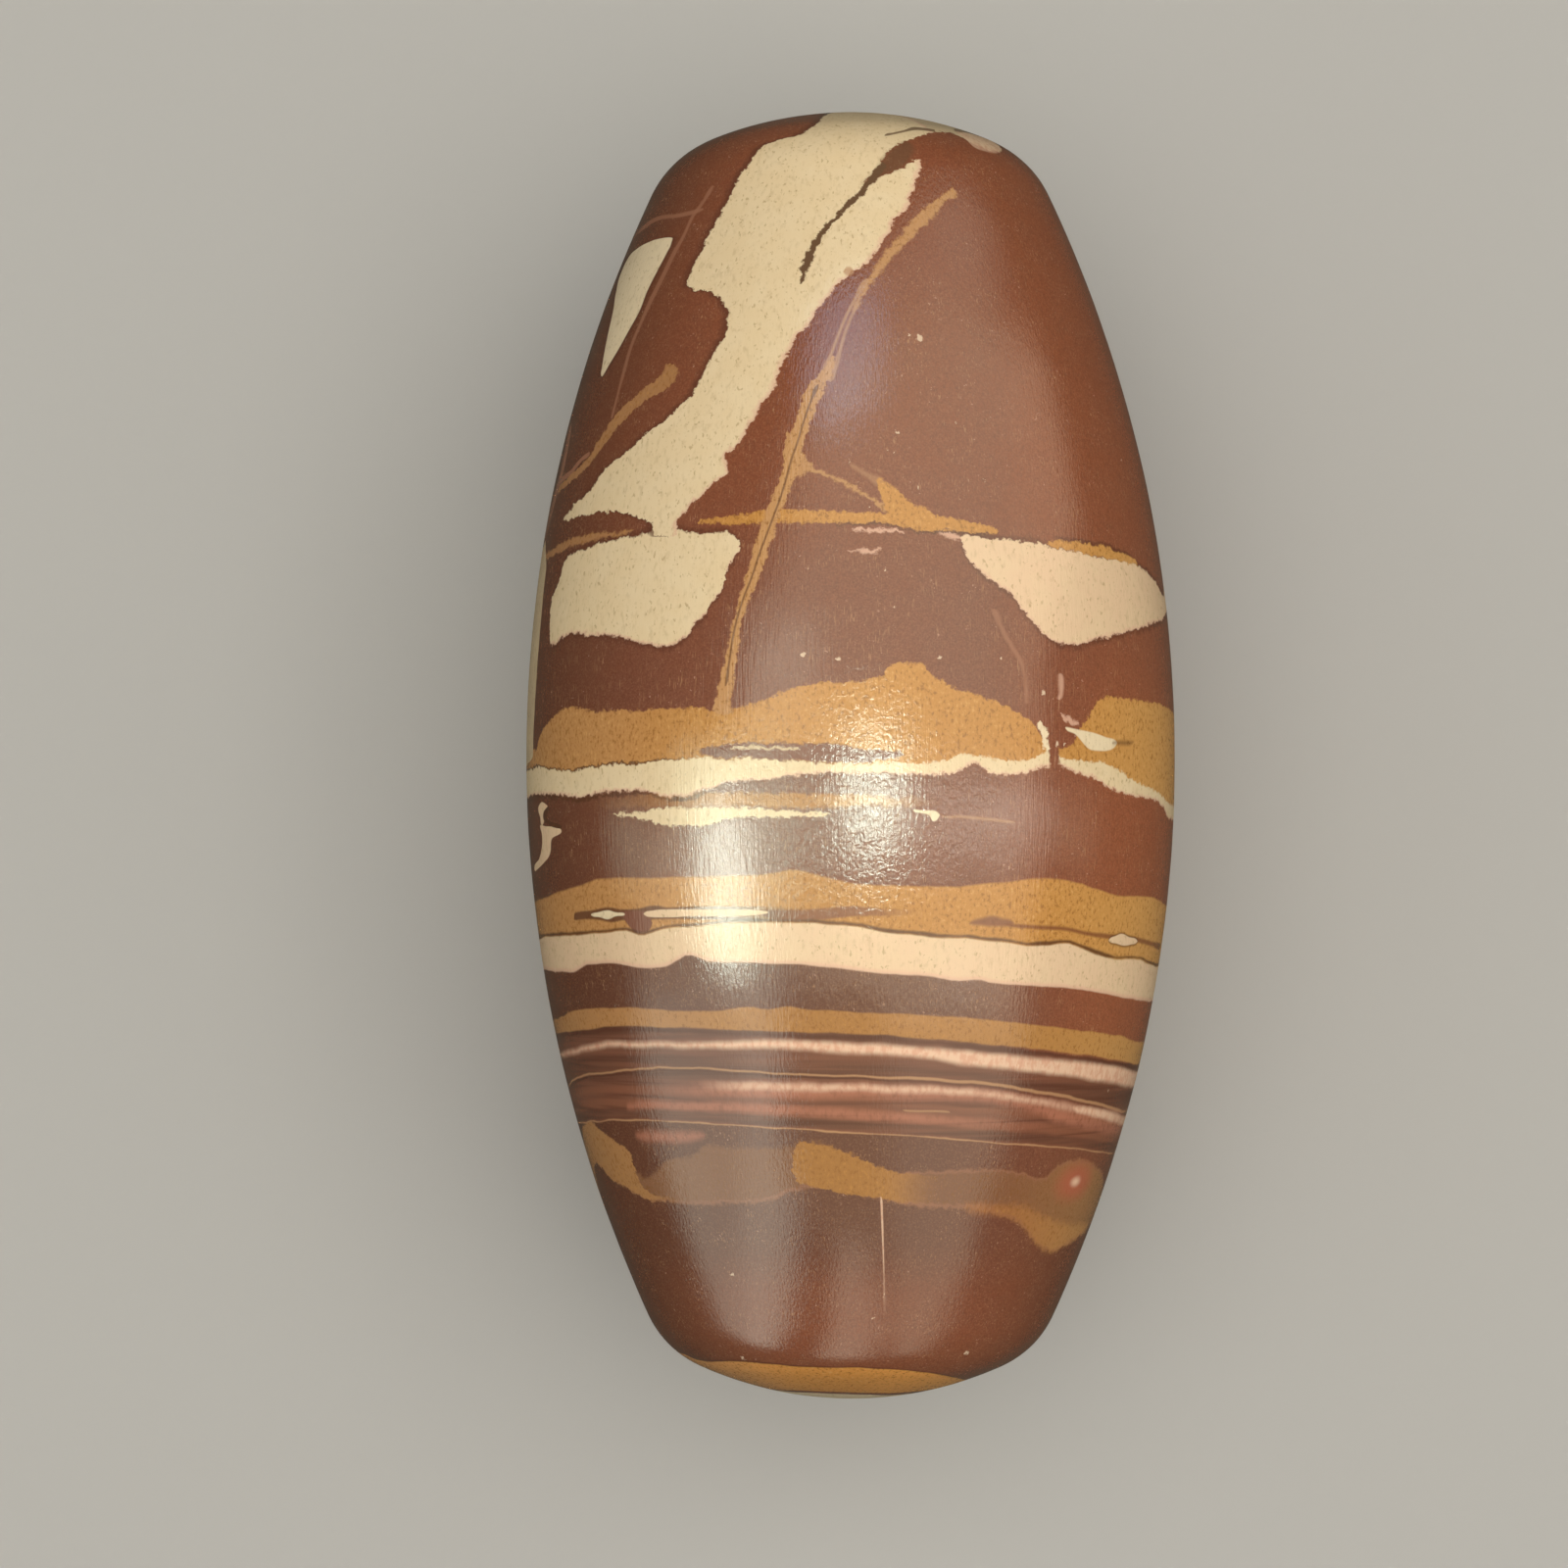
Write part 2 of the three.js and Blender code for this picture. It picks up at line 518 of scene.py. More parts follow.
laminated = {
    "top": [(566, 1056), (573, 1056), (618, 1048), (701, 1049), (801, 1050), (854, 1052), (901, 1056),
            (982, 1064), (1062, 1074), (1122, 1082), (1161, 1086)],
    "bottom": [(599, 1145), (608, 1144), (681, 1144), (761, 1149), (841, 1154), (922, 1159), (1002, 1165),
               (1082, 1171), (1139, 1176)],
    # Share of the way from bottom to top, and the colour there.
    "stops": [(0.0, "bodyPurple"), (0.04, "lamina"), (0.1, "lamina"), (0.15, "salmon"), (0.22, "salmon"),
              (0.27, "salmonDark"), (0.33, "salmon"), (0.42, "salmonDark"), (0.49, "lamina"),
              (0.66, "lamina"), (0.74, "salmonDark"), (0.88, "salmonDark"), (0.94, "lamina"),
              (1.0, "lamina")],
    # Thin lines: share of the way, colour and width.
    "lines": [(0.0, "tan", 0.2)],
}

bandMarks = [
    {"name": "lineUpper", "paint": "tan", "ring": True, "soft": 0.15, "round": True, "strength": 0.85,
     "line": [(566, 1110, 2), (589, 1100, 2), (634, 1093, 2), (683, 1090, 2), (738, 1091, 2), (808, 1096, 2),
              (877, 1098, 2), (947, 1101.5, 3), (1016, 1107, 3), (1051, 1112, 3), (1086, 1119, 3),
              (1120, 1126, 3), (1147, 1134, 3)],
     "lines": [{"edge": "bottom", "paint": "bodyDark", "width": 0.26, "shift": -0.14, "soft": 0.15}]},
    {"name": "pinkBand", "paint": "pinkPale", "ring": True, "soft": 0.55,
     "top": [(578, 1073), (624, 1063), (701, 1064), (801, 1062), (877, 1065), (930, 1068), (987, 1073),
             (1044, 1078.5), (1101, 1084), (1130, 1087), (1159, 1093)],
     "bottom": [(578, 1077), (624, 1068), (701, 1069), (801, 1070), (877, 1075), (930, 1078), (959, 1081),
                (987, 1087), (1044, 1092), (1073, 1096), (1101, 1100), (1130, 1104), (1159, 1109)]},
    {"name": "salmonBand", "paint": "pink", "ends": "both", "soft": 0.8, "strength": 0.5,
     "fade": [((770, 1112), (650, 1112))],
     "top": [(640, 1110), (701, 1106), (761, 1104), (841, 1105), (922, 1107), (1002, 1111), (1062, 1119),
             (1122, 1131), (1149, 1138)],
     "bottom": [(640, 1114), (701, 1117), (761, 1119), (841, 1120), (922, 1121), (1002, 1125), (1050, 1133),
                (1080, 1145), (1122, 1154), (1149, 1160)],
     "topBehind": [(110, -28.5), (140, -29)], "bottomBehind": [(110, -31.5), (140, -30.5)]},
    {"name": "pinkStreak", "paint": "pinkPale", "ends": "both", "soft": 0.5, "strength": 0.75,
     "fade": [((960, 1112), (1200, 1145)), ((775, 1108), (706, 1108))],
     "top": [(712, 1105), (722, 1103), (761, 1104), (841, 1106), (922, 1108), (1002, 1113), (1062, 1121),
             (1110, 1130), (1149, 1138)],
     "bottom": [(712, 1108), (722, 1112), (761, 1112), (841, 1113), (922, 1115), (1002, 1119), (1062, 1127),
                (1110, 1137), (1149, 1146)]},
    {"name": "pinkPatch", "paint": "pinkPale", "ends": "both", "soft": 0.45, "strength": 0.9,
     "top": [(1096, 1129), (1110, 1130), (1130, 1134), (1148, 1139)],
     "bottom": [(1096, 1131), (1110, 1137), (1130, 1143), (1148, 1148)],
     "topBehind": [(100, -28.3), (125, -29.1)], "bottomBehind": [(100, -29.2), (125, -29.4)]},
    {"name": "veilStreak", "paint": "pink", "ends": "both", "soft": 0.6, "strength": 0.42,
     "fade": [((890, 1136), (1100, 1146))],
     "top": [(640, 1126), (700, 1124), (760, 1126), (820, 1129), (880, 1134), (950, 1138), (1030, 1143),
             (1100, 1147)],
     "bottom": [(640, 1132), (700, 1133), (760, 1135), (820, 1138), (880, 1143), (950, 1147), (1030, 1152),
                (1100, 1155)]},
    {"name": "pinkSmear", "paint": "pink", "ends": "both", "soft": 0.8, "strength": 0.5,
     "top": [(648, 1158), (680, 1154), (718, 1157)],
     "bottom": [(648, 1161), (680, 1166), (718, 1161)]},
    {"name": "tanShort", "paint": "tan", "ends": "both", "soft": 0.15, "strength": 0.7, "straight": True,
     "round": True, "line": [(922, 1133, 1), (935, 1134, 2), (955, 1134, 2), (969, 1135, 1)]},
    {"name": "ochreThird", "paint": "ochreDeep", "ring": True, "soft": 0.2,
     "top": [(569, 1039), (593, 1030), (637, 1028), (669, 1030), (702, 1032), (734, 1031), (767, 1028),
             (782, 1030), (800, 1027), (821, 1030), (854, 1032), (915, 1035), (980, 1038), (1030, 1043),
             (1089, 1050), (1132, 1055), (1164, 1063)],
     "bottom": [(571, 1054), (598, 1051), (637, 1047), (702, 1049), (767, 1052), (810, 1053), (890, 1056),
                (915, 1057), (980, 1063), (1045, 1069), (1110, 1077), (1162, 1086)],
     "lines": [{"edge": "bottom", "paint": "bodyDark", "width": 0.5, "shift": -0.25, "soft": 0.35}]},
    {"name": "ochreSecond", "paint": "ochre", "ring": True, "soft": 0.25,
     "top": [(547, 919), (573, 910), (595, 902), (617, 896), (703, 895), (773, 893), (812, 888), (842, 895),
             (877, 902), (920, 904), (964, 905), (1007, 902), (1050, 898), (1072, 897), (1115, 906),
             (1146, 914), (1172, 915), (1189, 923)],
     "bottom": [(556, 966), (621, 958), (690, 952), (773, 948), (877, 953), (964, 963), (1056, 970),
                (1119, 979), (1180, 992)]},
    {"name": "lensPurple", "paint": "bodyPurple", "ends": "both", "soft": 0.25, "strength": 0.8,
     "fade": [((870, 931), (950, 930))],
     "top": [(776, 929), (820, 928), (860, 925), (900, 927), (950, 929)],
     "bottom": [(776, 933), (820, 939), (860, 936), (900, 934), (950, 931)]},
    {"name": "lensShade", "paint": "bodyDark", "ends": "both", "soft": 0.2, "strength": 0.85,
     "straight": True, "fade": [((740, 931), (830, 933))],
     "top": [(586, 932), (603, 929), (621, 926), (636, 928), (652, 927), (667, 924), (682, 926), (710, 925),
             (744, 925), (830, 927)],
     "bottom": [(586, 939), (600, 938), (612, 939), (625, 941), (636, 939), (652, 939), (672, 938), (710, 938),
                (740, 939), (830, 941)]},
    {"name": "lensGap", "paint": "bodyPurple", "ends": "both", "soft": 0.2, "straight": True,
     "top": [(636, 931), (645, 929), (658, 930), (665, 940)],
     "bottom": [(636, 935), (642, 945), (652, 952), (660, 951), (665, 944)]},
    {"name": "lensLeft", "paint": "creamPale", "ends": "both", "soft": 0.12, "straight": True,
     "top": [(603, 933), (610, 931), (620, 929), (628, 931), (637, 932)],
     "bottom": [(603, 934), (612, 936), (620, 938), (628, 935), (637, 934)]},
    {"name": "lensMiddle", "paint": "creamPink", "ends": "both", "soft": 0.12, "straight": True,
     "top": [(657, 932), (667, 929), (682, 928), (710, 928), (744, 928), (783, 930)],
     "bottom": [(657, 933), (667, 936), (682, 936), (710, 935), (744, 935), (783, 932)]},
    {"name": "lensBits", "paint": "bodyPurple", "ends": "both", "soft": 0.4, "strength": 0.85,
     "top": [(990, 942), (1003, 937), (1012, 935), (1022, 937), (1034, 942)],
     "bottom": [(990, 943), (1003, 945), (1012, 946), (1022, 946), (1034, 943)]},
    {"name": "lensLine", "paint": "lineBrown", "ends": "both", "soft": 0.25, "strength": 0.85, "straight": True,
     "round": True, "line": [(1026, 943, 1), (1056, 946, 4), (1088, 948, 4), (1111, 953, 4), (1127, 955, 5),
                             (1143, 957, 5), (1160, 959, 5), (1175, 963, 5), (1184, 967, 5)]},
    {"name": "lensRight", "paint": "creamPink", "ends": "both", "soft": 0.12, "straight": True,
     "halo": 0.25, "haloPaint": "darkLine",
     "top": [(1132, 959), (1139, 955), (1145, 953), (1152, 956), (1161, 960)],
     "bottom": [(1132, 960), (1140, 963), (1148, 965), (1154, 964), (1161, 961)]},
    {"name": "creamSecond", "paint": "creamPink", "ring": True, "soft": 0.18, "rim": 0.45,
     "top": [(560, 956), (591, 954), (621, 952), (640, 950), (652, 954), (660, 953), (667, 950), (690, 946),
             (710, 945), (773, 941), (834, 942), (877, 946), (920, 953), (960, 957), (992, 958), (1024, 962),
             (1056, 965), (1088, 963), (1103, 968), (1119, 973), (1143, 980), (1156, 979), (1180, 986)],
     "bottom": [(558, 990), (583, 992), (598, 984), (621, 983), (652, 987), (675, 987), (690, 981), (702, 975),
                (713, 978), (719, 982), (773, 983), (834, 986), (877, 991), (920, 994), (960, 998),
                (976, 1001), (997, 1000), (1008, 1002), (1056, 1006), (1080, 1007), (1111, 1012),
                (1127, 1014), (1151, 1019), (1174, 1022)],
     "lines": [{"edge": "top", "paint": "darkLine", "width": 0.42, "shift": 0.15, "soft": 0.25}]},
    {"name": "ochreThin", "paint": "ochre", "ends": "both", "soft": 0.4, "rough": True, "strength": 0.75,
     "fade": [((770, 817), (590, 820)), ((870, 818), (970, 820))],
     "top": [(585, 818), (620, 814), (680, 810), (750, 809), (830, 810), (900, 813), (970, 818)],
     "bottom": [(585, 822), (620, 825), (680, 824), (750, 823), (830, 824), (900, 823), (970, 821)]},
    {"name": "creamLine", "paint": "cream", "ends": "both", "soft": 0.2, "rough": True,
     "top": [(625, 830), (654, 828), (692, 824), (750, 824), (820, 828), (846, 830)],
     "bottom": [(625, 831), (639, 832), (658, 836), (679, 843), (703, 843), (750, 835), (820, 833),
                (846, 832)]},
    {"name": "creamDash", "paint": "creamPale", "ends": "both", "soft": 0.15, "straight": True,
     "top": [(933, 826), (942, 827), (950, 827), (958, 830)],
     "bottom": [(933, 828), (942, 830), (948, 832), (953, 838), (958, 834)]},
    {"name": "tanDash", "paint": "tan", "ends": "both", "soft": 0.25, "strength": 0.65, "round": True,
     "line": [(962, 833, 1), (985, 834, 3), (1000, 835, 3), (1018, 837, 3), (1036, 839, 1)]},
    {"name": "ochreHump", "paint": "ochre", "ring": True, "soft": 0.22, "rough": True,
     "top": [(547, 765), (549, 756), (554, 744), (564, 733), (574, 723), (585, 721), (600, 725), (627, 726),
             (683, 723), (711, 722), (740, 725), (759, 719), (788, 710), (807, 702), (828, 698), (860, 696),
             (887, 695), (895, 691), (906, 685), (910, 677), (925, 676), (943, 678), (948, 687), (962, 694),
             (975, 702), (1000, 710), (1019, 717), (1038, 727), (1052, 737), (1062, 748), (1067, 758),
             (1075, 764), (1088, 762), (1096, 758), (1102, 744), (1107, 737), (1111, 729), (1119, 717),
             (1134, 711), (1151, 714), (1179, 717), (1190, 722)],
     "bottom": [(547, 787), (581, 790), (606, 786), (635, 784), (663, 781), (692, 779), (723, 776),
                (790, 780), (860, 782), (925, 782), (972, 779), (986, 773), (1005, 777), (1030, 780),
                (1057, 777), (1066, 770), (1085, 777), (1113, 782), (1146, 796), (1180, 810),
                (1196, 822)]},
    {"name": "creamFirst", "paint": "cream", "ring": True, "soft": 0.2, "rough": True, "rim": 0.3,
     "top": [(548, 783), (581, 786), (606, 782), (635, 780), (663, 777), (692, 775), (723, 773), (745, 774),
             (800, 775), (820, 777), (835, 779), (850, 780), (880, 779), (910, 779), (927, 779), (972, 775),
             (986, 769), (1005, 773), (1030, 776), (1057, 773), (1070, 766), (1080, 772), (1098, 775),
             (1117, 777), (1132, 781), (1144, 788), (1167, 801), (1184, 810), (1195, 821)],
     "bottom": [(549, 811), (574, 811), (593, 813), (616, 809), (635, 807), (662, 808), (679, 813),
                (702, 812), (726, 804), (749, 797), (773, 796), (800, 792), (820, 791), (850, 789), (900, 789),
                (944, 791), (972, 790), (984, 784), (995, 778), (1005, 785), (1014, 791), (1033, 791),
                (1072, 782), (1084, 782), (1098, 788), (1117, 794), (1132, 803), (1152, 812), (1171, 814),
                (1184, 820), (1194, 835)],
     "lines": [{"edge": "bottom", "paint": "darkLine", "width": 0.5, "shift": -0.2, "soft": 0.3,
                "until": 745},
               {"edge": "top", "paint": "darkLine", "width": 0.3, "shift": 0.05, "soft": 0.15,
                "until": 725}]},
    {"name": "purpleLens", "paint": "bodyPurple", "ends": "both", "soft": 0.25, "rough": True,
     "top": [(714, 766), (731, 761), (760, 758), (800, 758), (840, 758), (869, 762), (900, 766), (921, 769)],
     "bottom": [(714, 768), (745, 773), (800, 775), (820, 777), (835, 779), (855, 779), (880, 777),
                (905, 775), (921, 772)]},
    {"name": "creamDashes", "paint": "cream", "ends": "both", "soft": 0.2, "rough": True, "strength": 0.75,
     "top": [(745, 762), (760, 762), (772, 761), (784, 763), (800, 762), (816, 763)],
     "bottom": [(745, 763), (760, 765), (772, 764), (784, 765), (800, 765), (816, 764)]},
    {"name": "creamFlame", "paint": "creamPale", "ends": "both", "soft": 0.15, "straight": True,
     "top": [(1088, 742), (1098, 744), (1108, 746), (1117, 748), (1128, 752), (1140, 757)],
     "bottom": [(1088, 744), (1097, 749), (1102, 754), (1107, 760), (1113, 765), (1120, 766), (1134, 765),
                (1140, 759)]},
    {"name": "flameTail", "paint": "darkLine", "ends": "both", "soft": 0.4, "strength": 0.6, "round": True,
     "straight": True, "line": [(1136, 758, 2), (1146, 758, 5), (1157, 757, 1)]},
    {"name": "creamFlake", "paint": "pinkRim", "ends": "both", "soft": 0.25, "rough": True, "strength": 0.8,
     "top": [(1084, 730), (1092, 733), (1101, 738)],
     "bottom": [(1084, 732), (1090, 738), (1101, 741)]},
    {"name": "blotchHigh", "paint": "creamPink", "ends": "both", "soft": 0.2, "straight": True,
     "left": [(551, 820), (549, 826), (551, 834), (552, 841)],
     "right": [(556, 820), (559, 825), (556, 833), (554, 841)]},
    {"name": "blotchLow", "paint": "creamPink", "ends": "both", "soft": 0.2, "straight": True,
     "left": [(551, 843), (553, 853), (553, 862), (550, 876), (545, 887)],
     "right": [(556, 843), (573, 848), (563, 856), (561, 871), (555, 880), (547, 888)]},
    {"name": "blotchLine", "paint": "darkLine", "ends": "both", "soft": 0.2, "straight": True,
     "line": [(559, 824, 2), (556, 833, 4), (561, 840, 4), (573, 845, 2)]},
]

patchMarks = [
    {"name": "creamRight", "paint": "creamPink", "ends": "both", "soft": 0.18, "rough": True, "halo": 0.6,
     "rim": 0.3,
     "top": [(980, 548), (990, 547), (1001, 548), (1031, 552), (1053, 553), (1076, 559), (1101, 563),
             (1126, 570), (1151, 573), (1167, 581), (1179, 593), (1187, 608)],
     "bottom": [(980, 551), (985, 563), (996, 580), (1006, 588), (1015, 594), (1030, 604), (1041, 619),
                (1053, 633), (1068, 648), (1079, 656), (1096, 658), (1117, 653), (1137, 648), (1156, 643),
                (1172, 638), (1185, 633)],
     "topBehind": [(92, 15.0), (104, 12.5)], "bottomBehind": [(92, 11.5), (104, 11.5)]},
    {"name": "ochreRight", "paint": "ochre", "ends": "both", "soft": 0.2, "rough": True,
     "top": [(1070, 555), (1079, 551), (1101, 553), (1117, 555), (1136, 560), (1151, 566), (1160, 573)],
     "bottom": [(1070, 556), (1093, 561), (1117, 567), (1142, 572), (1160, 576)],
     "lines": [{"edge": "top", "paint": "bodyDark", "width": 0.3, "shift": 0.1, "soft": 0.3}]},
    {"name": "creamLeft", "paint": "cream", "ends": "both", "soft": 0.18, "rough": True, "halo": 0.6,
     "rim": 0.3,
     "top": [(563, 612), (567, 602), (570, 594), (573, 583), (578, 570), (592, 563), (605, 557),
             (625, 552), (635, 549), (654, 546), (669, 541), (690, 540), (704, 543), (723, 544), (740, 543),
             (750, 547), (754, 556)],
     "bottom": [(562, 657), (567, 657), (574, 650), (583, 646), (599, 648), (625, 649), (651, 655),
                (679, 660), (693, 655), (703, 646), (711, 635), (721, 627), (724, 616), (734, 606),
                (739, 595), (741, 583), (748, 572), (753, 562)]},
    {"name": "ochreLeft", "paint": "ochreBrown", "ends": "both", "soft": 0.25, "rough": True,
     "top": [(549, 573), (564, 560), (583, 550), (602, 545), (620, 544), (645, 541)],
     "bottom": [(549, 579), (564, 567), (583, 558), (602, 553), (620, 549), (645, 543)],
     "topBehind": [(-95, 12)], "bottomBehind": [(-95, 11)]},
    # Painted shade: a strip of darkened cream along the left edge.
    {"name": "edgeStrip", "paint": "creamGrey", "soft": 0.2, "ends": "both",
     "left": [], "right": [(557, 579), (555, 597), (553, 617), (551, 639), (548, 675), (546, 706), (544, 740),
                           (543, 772)],
     "leftBehind": [(-104, 19), (-106, 10), (-103, 4), (-102, -1)]},
]

